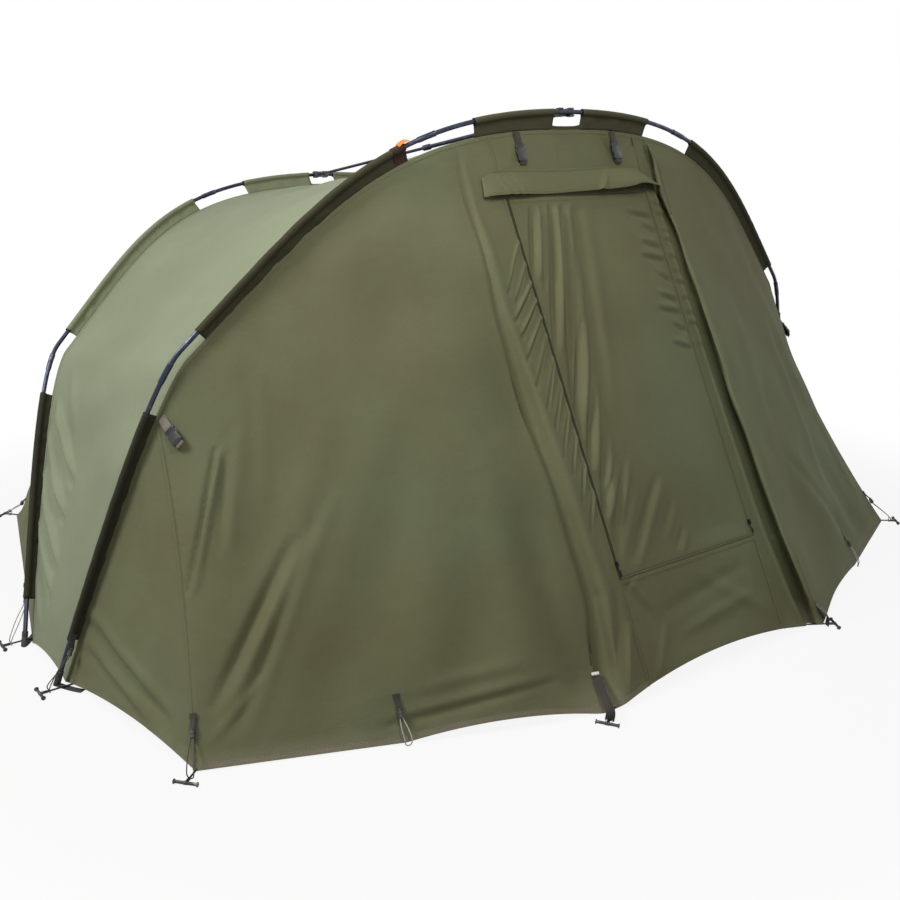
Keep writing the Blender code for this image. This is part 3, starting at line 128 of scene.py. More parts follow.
def finish(name, **values):
    """A new material, its tree and its shader with plain values set on the shader's own sockets."""
    made = bpy.data.materials.new(name)
    made.use_nodes = True
    tree = made.node_tree
    sockets = {socket.replace("_", " "): value for socket, value in values.items()}
    return made, tree, plug(tree, tree.nodes["Principled BSDF"], sockets)


def noise(tree, vector, scale, detail, **more):
    inputs = {"Vector": vector, "Scale": scale, "Detail": detail, **more}
    return add(tree, "ShaderNodeTexNoise", inputs).outputs["Fac"]


def bands(tree, vector, scale, direction, **more):
    inputs = {"Vector": vector, "Scale": scale, **more}
    return add(tree, "ShaderNodeTexWave", inputs, wave_type="BANDS", bands_direction=direction).outputs["Fac"]


def stretch(tree, vector, *scale):
    return add(tree, "ShaderNodeMapping", {"Vector": vector, "Scale": scale}).outputs[0]


def spread(tree, value, start=0, end=1, low=0, high=1, **settings):
    """The value with start to end spread over low to high, and held beyond them."""
    inputs = {"Value": value, "From Min": start, "From Max": end, "To Min": low, "To Max": high}
    return add(tree, "ShaderNodeMapRange", inputs, **settings).outputs[0]


def blend(tree, factor, first, second):
    inputs = {"Factor": factor, "A": first, "B": second}
    return add(tree, "ShaderNodeMix", inputs, data_type="RGBA").outputs["Result"]


def shaded(tree, tone, share):
    """A colour times a share."""
    return add(tree, "ShaderNodeVectorMath", {0: tone, 1: share}, operation="MULTIPLY").outputs[0]


def maths(tree, operation, first, second):
    return add(tree, "ShaderNodeMath", {0: first, 1: second}, operation=operation).outputs[0]


def bump(tree, height, strength, distance, **more):
    inputs = {"Strength": strength, "Distance": distance, "Height": height, **more}
    return add(tree, "ShaderNodeBump", inputs).outputs[0]


def own_uv(tree):
    return add(tree, "ShaderNodeUVMap", uv_map="UVMap").outputs[0]


def object_place(tree):
    return add(tree, "ShaderNodeTexCoord").outputs["Object"]


# The wave texture's own scale at which one band is one unit of its vector
ONE_BAND = math.tau / 20
SOIL = linear("#8a8473")


def woven(name, colour, shade, thread, depth=0.5, soil=0.0, roughness=0.85):
    """Coated polyester cloth in plain weave. Its UV map is in metres along warp and weft.

    The real threads lie a third of a millimetre apart, which no view here shows, so they
    are drawn `thread` metres apart. Cloth puckers beside its stitched seams, where the
    attribute seam falls to zero, and its colour drifts softly between its two tones in large random patches.
    """
    made, tree, shader = finish(name, Roughness=roughness, Specular_IOR_Level=0.25, Sheen_Weight=0.05,
                                Sheen_Roughness=0.5, Sheen_Tint=linear(colour))
    uv, place = own_uv(tree), object_place(tree)
    grid = stretch(tree, uv, 1 / thread, 1 / thread, 1)
    across, along = (bands(tree, grid, ONE_BAND, direction) for direction in "XY")
    over = add(tree, "ShaderNodeTexChecker", {"Vector": grid, "Scale": 1.0}).outputs["Fac"]
    weave = add(tree, "ShaderNodeMix", {"Factor": over, "A": across, "B": along}).outputs[0]
    drift = spread(tree, noise(tree, place, 1.3, 5, Roughness=0.6), 0.3, 0.7)
    slub = noise(tree, stretch(tree, uv, 30, 420, 1), 1, 2)
    tone = blend(tree, drift, linear(shade), linear(colour))
    tone = shaded(tree, tone, spread(tree, slub, 0.25, 0.75, 0.93, 1.06))
    tone = shaded(tree, tone, spread(tree, weave, low=0.94, high=1.03))
    if soil:
        # Dust and damp rise a few centimetres up the skirt from the ground
        height = add(tree, "ShaderNodeSeparateXYZ", {0: place}).outputs["Z"]
        line = maths(tree, "MULTIPLY", noise(tree, place, 14, 4), 0.09)
        tone = blend(tree, spread(tree, height, 0, line, soil, 0), tone, SOIL)
    seam = add(tree, "ShaderNodeAttribute", attribute_name="seam").outputs["Fac"]
    near = spread(tree, seam, 0.004, 0.045, 1, 0, interpolation_type="SMOOTHSTEP")
    pucker = maths(tree, "MULTIPLY", noise(tree, place, 55, 1), near)
    soft = bump(tree, noise(tree, place, 9, 6, Roughness=0.55), 0.5, 0.008)
    seamed = bump(tree, pucker, 0.6, 0.003, Normal=soft)
    plug(tree, shader, {"Base Color": tone, "Normal": bump(tree, weave, depth, thread / 4, Normal=seamed)})
    return made


def webbing(name, colour, shade):
    """Polypropylene webbing: ribs of thick yarn across the strap, drawn 2 mm apart as they really are."""
    made, tree, shader = finish(name, Roughness=0.8, Sheen_Weight=0.25, Specular_IOR_Level=0.3)
    grid = stretch(tree, own_uv(tree), 500, 500, 1)
    ribs = bands(tree, grid, 0.5, "DIAGONAL", Distortion=0.6)
    worn = spread(tree, noise(tree, grid, 3, 2), low=0.85, high=1.15)
    tone = shaded(tree, blend(tree, ribs, linear(shade), linear(colour)), worn)
    plug(tree, shader, {"Base Color": tone, "Normal": bump(tree, ribs, 0.6, 0.0006)})
    return made


def moulded(name, colour, roughness):
    """Injection-moulded nylon: a fine spark-eroded grain, and edges and tops rubbed a little paler."""
    made, tree, shader = finish(name, Roughness=roughness, Specular_IOR_Level=0.5)
    place = object_place(tree)
    rub = noise(tree, place, 160, 3)
    edge = add(tree, "ShaderNodeNewGeometry").outputs["Pointiness"]
    worn = maths(tree, "MULTIPLY", spread(tree, edge, 0.5, 0.6, 0, 0.5), rub)
    pale = tuple(min(1, 2.2 * c + 0.03) for c in linear(colour)[:3]) + (1,)
    plug(tree, shader, {"Base Color": blend(tree, worn, linear(colour), pale),
                        "Roughness": spread(tree, rub, low=roughness - 0.08, high=roughness + 0.12),
                        "Normal": bump(tree, noise(tree, place, 1400, 2), 0.25, 0.0002)})
    return made


def metal(name, colour, worn_colour, roughness, grain):
    """Metal with fine drawing lines of `grain` per metre along its UV map, rubbed brighter in spots."""
    made, tree, shader = finish(name, Metallic=0.85, Roughness=roughness)
    lines = noise(tree, stretch(tree, own_uv(tree), grain, 12, 1), 1, 3)
    rubbed = spread(tree, noise(tree, object_place(tree), 45, 6), 0.56, 0.72, 0, 0.6)
    plug(tree, shader, {"Base Color": blend(tree, rubbed, linear(colour), linear(worn_colour)),
                        "Roughness": spread(tree, lines, low=roughness - 0.07, high=roughness + 0.1),
                        "Normal": bump(tree, lines, 0.12, 0.0003)})
    return made


# Olive coated polyester: matt with a faint silky lift where it turns away
front_cloth = woven("olive_coated_polyester", "#61674b", "#5b563b", 0.0024, 0.35, 0.35, 0.78)
# The roof's cloth is the same polyester painted paler: painted light for the sky shining on it and a little
# through it
roof_cloth = woven("sage_coated_polyester", "#7e856c", "#71775f", 0.0024, 0.35, 0.3, 0.72)
# Sleeves are the same cloth doubled. Their dark colour is painted shade of their side turned away from the
# light, and they take the light without a gleam
sleeve_cloth = woven("dark_olive_sleeve_cloth", "#3d3b27", "#32301f", 0.002)
# The front crown's sleeve is drawn a little paler than the side sleeves
crown_sleeve_cloth = woven("faded_olive_sleeve_cloth", "#4a4833", "#3f3d2b", 0.002)
# The low sleeves are painted nearly black: painted shade, deeper than on the side sleeves
low_sleeve_cloth = woven("black_olive_sleeve_cloth", "#2c2b1b", "#232216", 0.002)
# The rear rib's sleeves are painted pale, close to the roof's cloth: painted light, as on the roof
rear_sleeve_cloth = woven("olive_sleeve_cloth", "#7c8165", "#6e7358", 0.002)
# A red-brown lining that shows as a band at the end of one sleeve
brown_cloth = woven("maroon_brown_sleeve_lining", "#3b2622", "#2d1d1a", 0.002)
# Hem tape: grey-brown woven tape, painted pale as painted light where the left front hem catches the light
# along the ground
hem_tape = woven("grey_brown_hem_tape", "#7d7662", "#6a6450", 0.0016, 0.6, 0.25)
# Zip tape: finely woven. The left run's tape is painted dark, as painted shade where that run turns away from
# the light; the other runs have the plain olive tape
zip_cloth = woven("dark_olive_zip_tape", "#33321f", "#2a2918", 0.0012, 0.6)
olive_zip_cloth = woven("olive_zip_tape", "#5a593f", "#4c4b33", 0.0012, 0.6)
# Nylon zip coil: smooth, with small gleams on its turns. The left run's coil is painted dark as painted
# shade; the other runs have the plain olive coil
zip_teeth = finish("dark_nylon_zip_coil", Base_Color=linear("#26251a"), Roughness=0.4)[0]
olive_zip_teeth = finish("olive_nylon_zip_coil", Base_Color=linear("#565540"), Roughness=0.45)[0]
# Bonded polyester thread: a dull strand just darker than the cloth
stitch_thread = finish("bonded_polyester_thread", Base_Color=linear("#4b4a33"), Roughness=0.7)[0]
# Webbing: coarse ribs with a soft sheen, black-brown, and sun-bleached on one strap
dark_webbing = webbing("black_brown_polypropylene_webbing", "#37332b", "#201e19")
pale_webbing = webbing("grey_brown_polypropylene_webbing", "#7d776b", "#625d53")
# Elastic cord's braided cover, grey or nearly white, and the orange tape of a sleeve's pull
cord_cover = webbing("grey_elastic_cord_cover", "#4d4a44", "#34322d")
pale_cord_cover = webbing("pale_elastic_cord_cover", "#b8b6ac", "#95938a")
orange_tape = webbing("orange_woven_tape", "#d9802a", "#b5661f")
# Acetal buckles and toggles: black with a soft gleam on their edges
buckle_plastic = moulded("black_acetal_buckle", "#1c1c1b", 0.38)
grip_plastic = moulded("dark_grey_nylon_grip", "#343434", 0.5)
pale_plastic = moulded("pale_grey_nylon", "#b9b7ae", 0.5)
# Rubber boots of the ribs: dead matt black
foot_rubber = moulded("black_moulded_rubber", "#161616", 0.7)
# Anodised aluminium tube: dark blue-black, satin, with drawing lines along it
pole_metal = metal("blue_black_anodised_aluminium", "#343846", "#5b6070", 0.34, 900)
# Lacquered steel and zinc: dark, with bare metal where the lacquer is rubbed off
peg_metal = metal("dark_lacquered_steel", "#3b3b3e", "#7d7b78", 0.42, 400)
slider_metal = metal("black_lacquered_die_cast_zinc", "#242424", "#77736a", 0.35, 400)


# Mesh making


def unit(vectors):
    return vectors / np.maximum(np.linalg.norm(vectors, axis=-1, keepdims=True), 1e-12)


def mix(low, high, part):
    """The value that lies a part of the way from low to high."""
    return low + (high - low) * part


def smoothstep(value):
    value = np.clip(value, 0, 1)
    return value * value * (3 - 2 * value)


def linked(name, data):
    """A new object in the scene."""
    made = bpy.data.objects.new(name, data)
    bpy.context.scene.collection.objects.link(made)
    return made


def dressed(mesh, material):
    """The mesh with one material."""
    mesh.materials.clear()
    mesh.materials.append(material)
    return mesh


def piece(name, mesh, material, body="tent", nodes=()):
    """A finished mesh as an object that rides on a body and stands for CAD nodes."""
    made = linked(name, dressed(mesh, material) if material else mesh)
    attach(made, body)
    if nodes:
        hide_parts(*nodes)
    return made


def run_along(points, axis):
    """The distance run along one axis of a grid of points, from its first row or column."""
    steps = np.linalg.norm(np.diff(points, axis=axis), axis=2)
    return np.concatenate([np.zeros_like(steps.take([0], axis)), np.cumsum(steps, axis=axis)], axis=axis)


def grid_mesh(name, grid, wrap=False, inside=None):
    """Quads through a grid of points, with a UV map in metres and each point's distance to an edge."""
    grid = np.asarray(grid, float)
    rows, columns = grid.shape[:2]
    index = np.arange(rows * columns).reshape(rows, columns)
    ring = grid
    if wrap:
        ring, index = (np.concatenate([values, values[:, :1]], axis=1) for values in (grid, index))
    u, v = run_along(ring, 1), run_along(ring, 0)
    u -= u.mean(axis=1, keepdims=True)
    near, far = slice(0, -1), slice(1, None)
    corners = [(near, near), (near, far), (far, far), (far, near)]
    if inside is not None:
        normal = np.cross(ring[near, far] - ring[near, near], ring[far, near] - ring[near, near])
        if (normal * (ring[near, near] - inside)).sum() < 0:
            corners = corners[::-1]
    faces = np.stack([index[c] for c in corners], axis=-1).reshape(-1, 4)
    mesh = bpy.data.meshes.new(name)
    mesh.from_pydata(grid.reshape(-1, 3).tolist(), [], faces.tolist())
    flat = np.stack([np.stack([u[c], v[c]], axis=-1) for c in corners], axis=2).reshape(-1)
    mesh.uv_layers.new(name="UVMap").data.foreach_set("uv", flat.astype(np.float32))
    edge = np.minimum(v - v[:1], v[-1:] - v)
    if not wrap:
        edge = np.minimum(edge, np.minimum(u - u[:, :1], u[:, -1:] - u))
    seam = mesh.attributes.new("seam", "FLOAT", "POINT")
    seam.data.foreach_set("value", edge[:, :columns].reshape(-1).astype(np.float32))
    mesh.shade_smooth()
    return mesh


def faced_outward(mesh, ring=0):
    """Turn a mesh's faces outward, after closing its first and last rings of that many points."""
    shape = bmesh.new()
    shape.from_mesh(mesh)
    shape.verts.ensure_lookup_table()
    for start in (0, len(shape.verts) - ring) if ring else ():
        shape.faces.new([shape.verts[start + place] for place in range(ring)])
    bmesh.ops.recalc_face_normals(shape, faces=shape.faces)
    shape.to_mesh(mesh)
    shape.free()
    return mesh


def rings_mesh(name, rings):
    """A closed skin through rings of equally many points, each ring run the same way round."""
    mesh = faced_outward(grid_mesh(name, rings, wrap=True), len(rings[0]))
    mesh.shade_smooth()
    mesh.set_sharp_from_angle(angle=math.radians(SHARP_EDGE_DEG))
    return mesh


def thicken(made, thickness, offset=0.0):
    """Give a sheet its thickness by a modifier, which keeps the sheet itself for its measures."""
    step = made.modifiers.new("Thickness", "SOLIDIFY")
    step.thickness = thickness
    step.offset = offset


def joined(name, parts):
    """One mesh from several, with their UV maps and materials kept."""
    made = [linked(name, part) for part in parts]
    with bpy.context.temp_override(active_object=made[0], object=made[0], selected_objects=made,
                                   selected_editable_objects=made):
        bpy.ops.object.join()
    mesh = made[0].data
    bpy.data.objects.remove(made[0])
    mesh.name = name
    return mesh


def box_rings(centres, across, up, half_width, half_height, corner):
    """Rings of twelve points: rectangles with rounded corners, each in the plane of its own across and up."""
    centres, across, up = (np.atleast_2d(v) for v in (centres, across, up))
    sizes = (half_width, half_height, corner)
    wide, high, cut = (np.broadcast_to(np.asarray(size, float), (len(centres),))[:, None] for size in sizes)
    ring = []
    for turn, (right, top) in enumerate(((1, 1), (-1, 1), (-1, -1), (1, -1))):
        for step in (0, 0.5, 1):
            angle = math.pi / 2 * (turn + step)
            ring.append(across * (right * (wide - cut) + cut * math.cos(angle))
                        + up * (top * (high - cut) + cut * math.sin(angle)))
    return centres[:, None] + np.stack(np.broadcast_arrays(*ring), axis=1)


def ribbon(name, line, out, width, thickness):
    """A flat strip with rounded edges along a line of points; `out` points away from its face."""
    line = np.asarray(line, float)
    tangent = unit(np.gradient(line, axis=0))
    out = np.broadcast_to(out, line.shape)
    out = unit(out - tangent * (out * tangent).sum(1, keepdims=True))
    rings = box_rings(line, np.cross(tangent, out), out, width / 2, thickness / 2, thickness / 2.1)
    return rings_mesh(name, rings)


def circles(centres, across, up, radii, sides):
    """Rings of points round centres, each in the plane of its own across and up."""
    angles = np.arange(sides) * math.tau / sides
    centres, across, up = (np.atleast_2d(v) for v in (centres, across, up))
    radii = np.broadcast_to(np.asarray(radii, float), (len(centres),))
    around = np.cos(angles)[None, :, None] * across[:, None] + np.sin(angles)[None, :, None] * up[:, None]
    return centres[:, None] + around * radii[:, None, None]


def lathed(name, origin, axis, across, up, stops, sides, material):
    """A round piece from its stops along an axis: (distance from the origin, radius)."""
    stops = np.array(stops)
    rings = circles(origin + axis * stops[:, :1], across, up, stops[:, 1], sides)
    return dressed(rings_mesh(name, rings), material)


def sweep(name, line, radius, sides, side_hint):
    """A round skin along a line of points."""
    line = np.asarray(line, float)
    tangent = unit(np.gradient(line, axis=0))
    across = unit(np.cross(tangent, side_hint))
    for place in range(1, len(line)):
        turned = across[place - 1] - tangent[place] * (across[place - 1] @ tangent[place])
        across[place] = turned / np.linalg.norm(turned)
    return rings_mesh(name, circles(line, across, np.cross(across, tangent), radius, sides))


def smooth_line(points, per_piece):
    """Catmull-Rom curve through points."""
    points = np.asarray(points, float)
    padded = np.concatenate([[2 * points[0] - points[1]], points, [2 * points[-1] - points[-2]]])
    t = np.linspace(0, 1, per_piece, endpoint=False)[:, None]
    parts = []
    for place in range(1, len(padded) - 2):
        a, b, c, d = padded[place - 1:place + 3]
        bend_in, bend_out = (2 * a - 5 * b + 4 * c - d) * t ** 2, (3 * b - a - 3 * c + d) * t ** 3
        parts.append((2 * b + (c - a) * t + bend_in + bend_out) / 2)
    return np.concatenate([*parts, points[-1:]])


# The ribs' bend, and the door section's plane


def bezier(corners, t):
    """Points of a cubic curve with four corners."""
    t, back = t[:, None], 1 - t[:, None]
    weights = (back ** 3, 3 * back ** 2 * t, 3 * back * t ** 2, t ** 3)
    return sum(weight * corner for weight, corner in zip(weights, corners))


def bend():
    """The half rib: points across and up, inward normals, shares of its length, that length, bend measure."""
    slope = math.radians(ELBOW_SLOPE_DEG)
    run, elbow = np.array([math.cos(slope), -math.sin(slope)]), np.array([ELBOW_OUT, ELBOW_UP])
    crown, foot = np.array([0, RIB_RISE]), np.array([RIB_HALF_SPAN, 0])
    below = elbow + run * ELBOW_HANDLE_BELOW
    upper = (crown, np.array([CROWN_HANDLE, RIB_RISE]), elbow - run * ELBOW_HANDLE_ABOVE, elbow)
    lower = (elbow, below, foot + (below - foot) * LEG_HANDLE_SHARE, foot)
    t = np.linspace(0, 1, 601)
    line = np.concatenate([bezier(upper, t)[:-1], bezier(lower, t)])
    steps = np.diff(line, axis=0)
    lengths = np.concatenate([[0], np.cumsum(np.linalg.norm(steps, axis=1))])
    along = unit(np.gradient(line, axis=0))
    normals = np.stack([along[:, 1], -along[:, 0]], axis=1)
    turns = np.arccos(np.clip((unit(steps)[1:] * unit(steps)[:-1]).sum(1), -1, 1))
    measure = lengths + np.concatenate([[0, 0], np.cumsum(turns)]) * BEND_WEIGHT
    return line, normals, lengths / lengths[-1], lengths[-1], measure


BEND, BEND_NORMALS, BEND_SHARES, HALF_LENGTH, MEASURE = bend()
STATION_SHARES = np.interp(np.linspace(0, MEASURE[-1], STATIONS + 1), MEASURE, BEND_SHARES)


def shares_between(start, end, count):
    """Shares from start to end, spaced as the panels' seams pair them: close where the rib bends most."""
    margin = STATION_MARGIN_SHARE / STATIONS
    both = np.concatenate([-STATION_SHARES[:0:-1], STATION_SHARES])
    stops = np.concatenate([[start], both[(both > start + margin) & (both < end - margin)], [end]])
    return np.interp(np.linspace(0, len(stops) - 1, count), np.arange(len(stops)), stops)


class Rib:
    """A rib standing at foot_y and leaning, with places given as a share of half its length."""

    def __init__(self, name, foot_y, lean_deg):
        lean = math.radians(lean_deg)
        self.name, self.foot = name, Y * foot_y
        self.rise = np.array([0, math.sin(lean), math.cos(lean)])

    def at(self, shares):
        """Points on the rib's axis, directions to the right foot, inward normals and their cross products."""
        shares = np.atleast_1d(np.asarray(shares, float))
        side = np.where(shares < 0, -1.0, 1.0)[:, None]
        far, high, n_far, n_high = (np.interp(abs(shares), BEND_SHARES, values)[:, None]
                                    for values in (*BEND.T, *BEND_NORMALS.T))
        point = self.foot + side * far * X + high * self.rise
        normal = unit(side * n_far * X + n_high * self.rise)
        along = unit(-n_high * X + side * n_far * self.rise)
        return point, along, normal, np.cross(along, normal)

    def at_one(self, share):
        return (values[0] for values in self.at(share))

    def depth(self, shares):
        """How deep the sleeve is there, from the rib's axis to its seam."""
        return mix(SLEEVE_FOOT_DEPTH, SLEEVE_DEPTH, (1 - np.abs(shares)) ** SLEEVE_FADE)

    def seam(self, shares):
        point, _, normal, _ = self.at(shares)
        return point + normal * self.depth(np.atleast_1d(shares))[:, None]

    def share_at(self, height=None, across=None, samples=4001, crown=1500):
        """Share of the half rib at which its seam has that height, or is that far from the middle.

        The seam runs outward over its first samples, at the crown, and only down over the others.
        """
        shares = np.linspace(0, 1, samples)
        seam = self.seam(shares)
        if across is not None:
            return float(np.interp(across, seam[:crown, 0], shares[:crown]))
        return float(np.interp(-height, -seam[crown:, 2], shares[crown:]))


standing = Rib("front", 0.0, FRONT_LEAN_DEG)
TOP = standing.seam(-DOOR_SEAM)[0]
DOOR_SLOPE = unit(np.array([0, TOP[1] - DOOR_CORNER[1], TOP[2]]))
DOOR_OUT = np.array([0, -DOOR_SLOPE[2], DOOR_SLOPE[1]])
DOOR_HEAD = (standing.seam(0)[0] - DOOR_CORNER[1] * Y) @ DOOR_SLOPE - HEADER_DEPTH
HOOD_FOOT = DOOR_HEAD + HOOD_OVER_DOOR
JOINTS = {joint["name"]: joint for joint in frame["joints"]}
# The frame's origin is under the middle of the whole tent, this far behind the front rib's feet
MIDDLE_Y = DOOR_CORNER[1] + DOOR_SLOPE[1] * DOOR_HEAD - JOINTS["door_swing"]["pos_m"][1]
FRONT = Rib("front", -MIDDLE_Y, FRONT_LEAN_DEG)
REAR = Rib("rear", RIB_FOOT_SPACING - MIDDLE_Y, REAR_LEAN_DEG)
INSIDE = np.array([0, RIB_FOOT_SPACING - MIDDLE_Y, 0.5])


def on_door(across, up, out=0.0):
    """Points of the door section: across from its middle, up its slope from the ground, and out from it."""
    across, up, out = (np.asarray(v, float)[..., None] for v in (across, up, out))
    return across * X + (DOOR_CORNER[1] - MIDDLE_Y) * Y + up * DOOR_SLOPE + out * DOOR_OUT


def on_ground(place, side=-1):
    """A pegging point, given as its distance from the middle and its place behind the front feet."""
    return np.array([side * place[0], place[1] - MIDDLE_Y, 0])


# Cloth panels


def bow(parts):
    """Nought at both ends of a run and one in its middle."""
    return 4 * parts * (1 - parts)


def hem_points(start, end, parts, rise):
    """Points of a hem that rises between its two pegging points."""
    spots = mix(start, end, parts[:, None])
    spots[:, 2] = HEM + rise * bow(parts)
    return spots


def ruled(tops, bottoms, parts, sags):
    """Grid from the tops down to the bottoms, drawn in towards the tent's middle by each column's sag."""
    spots = mix(tops[None], bottoms[None], parts[:, None, None])
    inward = (INSIDE - spots) * (1, 1, 0)
    return spots + unit(inward) * (np.asarray(sags)[None, :, None] * bow(parts)[:, None, None])


def normals_of(grid):
    """Unit normals of a grid of points, pointing out of the tent."""
    normal = unit(np.cross(np.gradient(grid, axis=1), np.gradient(grid, axis=0)))
    return normal * np.sign((normal * (grid - INSIDE)).sum(-1, keepdims=True))


def creased(grid, creases, ripple, seed, hold=0.12, waves=9, longest=0.6):
    """Push a grid in and out along creases, each (start, end, half width, height), and by a soft ripple.

    A crease fades towards both its ends, and the ripple fades towards the panel's sewn edges.
    """
    normal = normals_of(grid)
    push = np.zeros(grid.shape[:2])
    for start, end, width, height in creases:
        start, end = np.array(start, float), np.array(end, float)
        run = end - start
        part = np.clip(((grid - start) @ run) / (run @ run), 0, 1)
        away = grid - start - part[..., None] * run
        away = np.linalg.norm(away - normal * (away * normal).sum(-1, keepdims=True), axis=-1) / width
        push += height * np.exp(-away ** 2) * np.sin(math.pi * np.clip(part * 0.92 + 0.04, 0, 1)) ** 0.6
    u, v = run_along(grid, 1), run_along(grid, 0)
    edge = np.minimum(np.minimum(u, u[:, -1:] - u), np.minimum(v, v[-1:] - v))
    random = np.random.default_rng(seed)
    for _ in range(waves):
        angle, length = random.uniform(0, math.pi), random.uniform(0.14, longest)
        phase = random.uniform(0, math.tau)
        wave = np.sin((u * math.cos(angle) + v * math.sin(angle)) * math.tau / length + phase)
        push += ripple * wave * length / longest * np.clip(edge / hold, 0, 1)
    return grid + normal * push[..., None]


def pleat(start, end, width, depth, step=(0.016, 0, 0)):
    """A groove and, beside it by a step, the ridge of cloth that it throws up."""
    start, end, step = np.array(start), np.array(end), np.array(step)
    return [(start, end, width, -depth), (start + step, end + step, width * 1.3, depth * 0.9)]


def door_pleat(start, end, width, depth, step):
    """A pleat with its ends given as across and up on the door section."""
    return pleat(on_door(*start), on_door(*end), width, depth, step)


def sewn_panel(name, grid, body="tent", cloth=front_cloth):
    """A cloth panel from its grid, given its thickness by a modifier."""
    made = piece(name, grid_mesh(name, grid, inside=INSIDE), cloth, body, [name])
    thicken(made, CLOTH)
    u, v = (float(run_along(grid, axis).max()) for axis in (1, 0))


def roof_grid(rows=110, columns=400):
    """The roof from the front rib's seam to the rear one's, sagging between them."""
    end, rear_end = FRONT.share_at(height=HEM), REAR.share_at(height=HEM)
    shares = shares_between(-end, end, columns)
    rear_shares = shares * rear_end / end
    parts = np.linspace(0, 1, rows)
    spots = mix(FRONT.seam(shares)[None], REAR.seam(rear_shares)[None], parts[:, None, None])
    inward = unit(FRONT.at(shares)[2] + REAR.at(rear_shares)[2])
    bulge = bow(parts)
    spots += inward[None] * (ROOF_SAG * bulge[:, None] * np.cos(math.pi / 2 * shares)[None])[..., None]
    # Low down, the side's heights are drawn in a little so that its hem rises between the feet
    top, low = 0.4, spots[:, :1, 2]
    hem = (HEM + SIDE_HEM_RISE * bulge)[:, None]
    squeezed = hem + (spots[..., 2] - low) * (top - hem) / (top - low)
    spots[..., 2] = np.where(spots[..., 2] < top, squeezed, spots[..., 2])
    return spots


def wing_columns(rib, corner, rise, columns):
    """Tops, bottoms and sags of the panel between a rib's left foot and its first pegging corner."""
    end = rib.share_at(height=HEM)
    foot = rib.seam(-end)[0] * (1, 1, 0)
    first = FIRST_HEM_STEP / np.linalg.norm(corner - foot)
    parts = np.linspace(0, 1, columns)
    tops = rib.seam(shares_between(-end, -LOW_SLEEVE[0], columns))
    return tops, hem_points(foot, corner, mix(first, 1, parts), rise), PANEL_SAG * parts


def rear_grid(rows=80, wide=200):
    """The rear panel from foot to foot: a wing at each side and a bowed middle between its corners."""
    corner, opposite = on_ground(REAR_CORNER), on_ground(REAR_CORNER, 1)
    part = np.linspace(0, 1, wide)
    middle = hem_points(corner, opposite, part, REAR_HEM_RISE)
    middle[:, 1] += REAR_BOW * np.sin(math.pi * part)
    middle_tops = REAR.seam(shares_between(-LOW_SLEEVE[0], LOW_SLEEVE[0], wide))
    middles = middle_tops, middle, PANEL_SAG * abs(1 - 2 * part)
    tops, bottoms, sags = (
        np.concatenate([side[:-1], between, side[-2::-1] * (MIRROR if side.ndim > 1 else 1)])
        for side, between in zip(wing_columns(REAR, corner, REAR_HEM_RISE, REAR_WING_COLUMNS), middles))
    return ruled(tops, bottoms, np.linspace(0, 1, rows), sags)


def door_hem_up(across):
    """How far up the door section its hem lies, that far across."""
    part = (np.asarray(across) + DOOR_CORNER[0]) / (2 * DOOR_CORNER[0])
    return (HEM + DOOR_HEM_RISE * bow(part)) / DOOR_SLOPE[2]


# The door section's edges, as heights up its slope and distances from its middle
DOOR_LINES = {"left": ((0.0, 0.1, 0.29, 0.6, 0.85, 1.1, 1.62),
                       (0.441, 0.420, 0.395, 0.402, 0.415, 0.428, 0.412)),
              "right": ((0.0, 0.1, 0.3, 0.67, 1.13, 1.4, 1.62),
                        (0.441, 0.415, 0.386, 0.372, 0.357, 0.352, 0.366))}
# Section through the tuck at each edge, from the front panel to the zip: shares of its width and of its depth
TUCKS = {"left": ((0, -0.88), (0.25, -0.98), (0.5, -1.0), (0.7, -0.86), (0.85, -0.5), (1.0, -0.16),
                  (1.2, 0.03), (1.45, 0.08), (1.8, 0.03), (2, 0)),
         "right": ((0, 0.8), (0.3, 0.98), (0.46, 0.96), (0.55, 0.82), (0.46, 0.6), (0.05, 0.3), (-0.4, 0),
                   (-0.5, -0.5), (-0.25, -0.95), (0.25, -1.15), (0.75, -0.95), (1.0, -0.5), (1.12, -0.08),
                   (1.3, 0.08), (1.6, 0))}
# Widths and depths of the tucks from their top to their foot, and the share of the depth left at the foot
TUCK_WIDTHS = {"left": (0.022, 0.042), "right": (0.024, 0.042)}
TUCK_DEPTHS = {"left": (0.007, 0.040), "right": (0.022, 0.042)}
TUCK_FOOT_SHARES = {"left": 0.35, "right": 0.6}
WIDE_COLUMNS, REAR_WING_COLUMNS, SEEN_ACROSS = 84, 60, np.linspace(0, 0.6, 200)


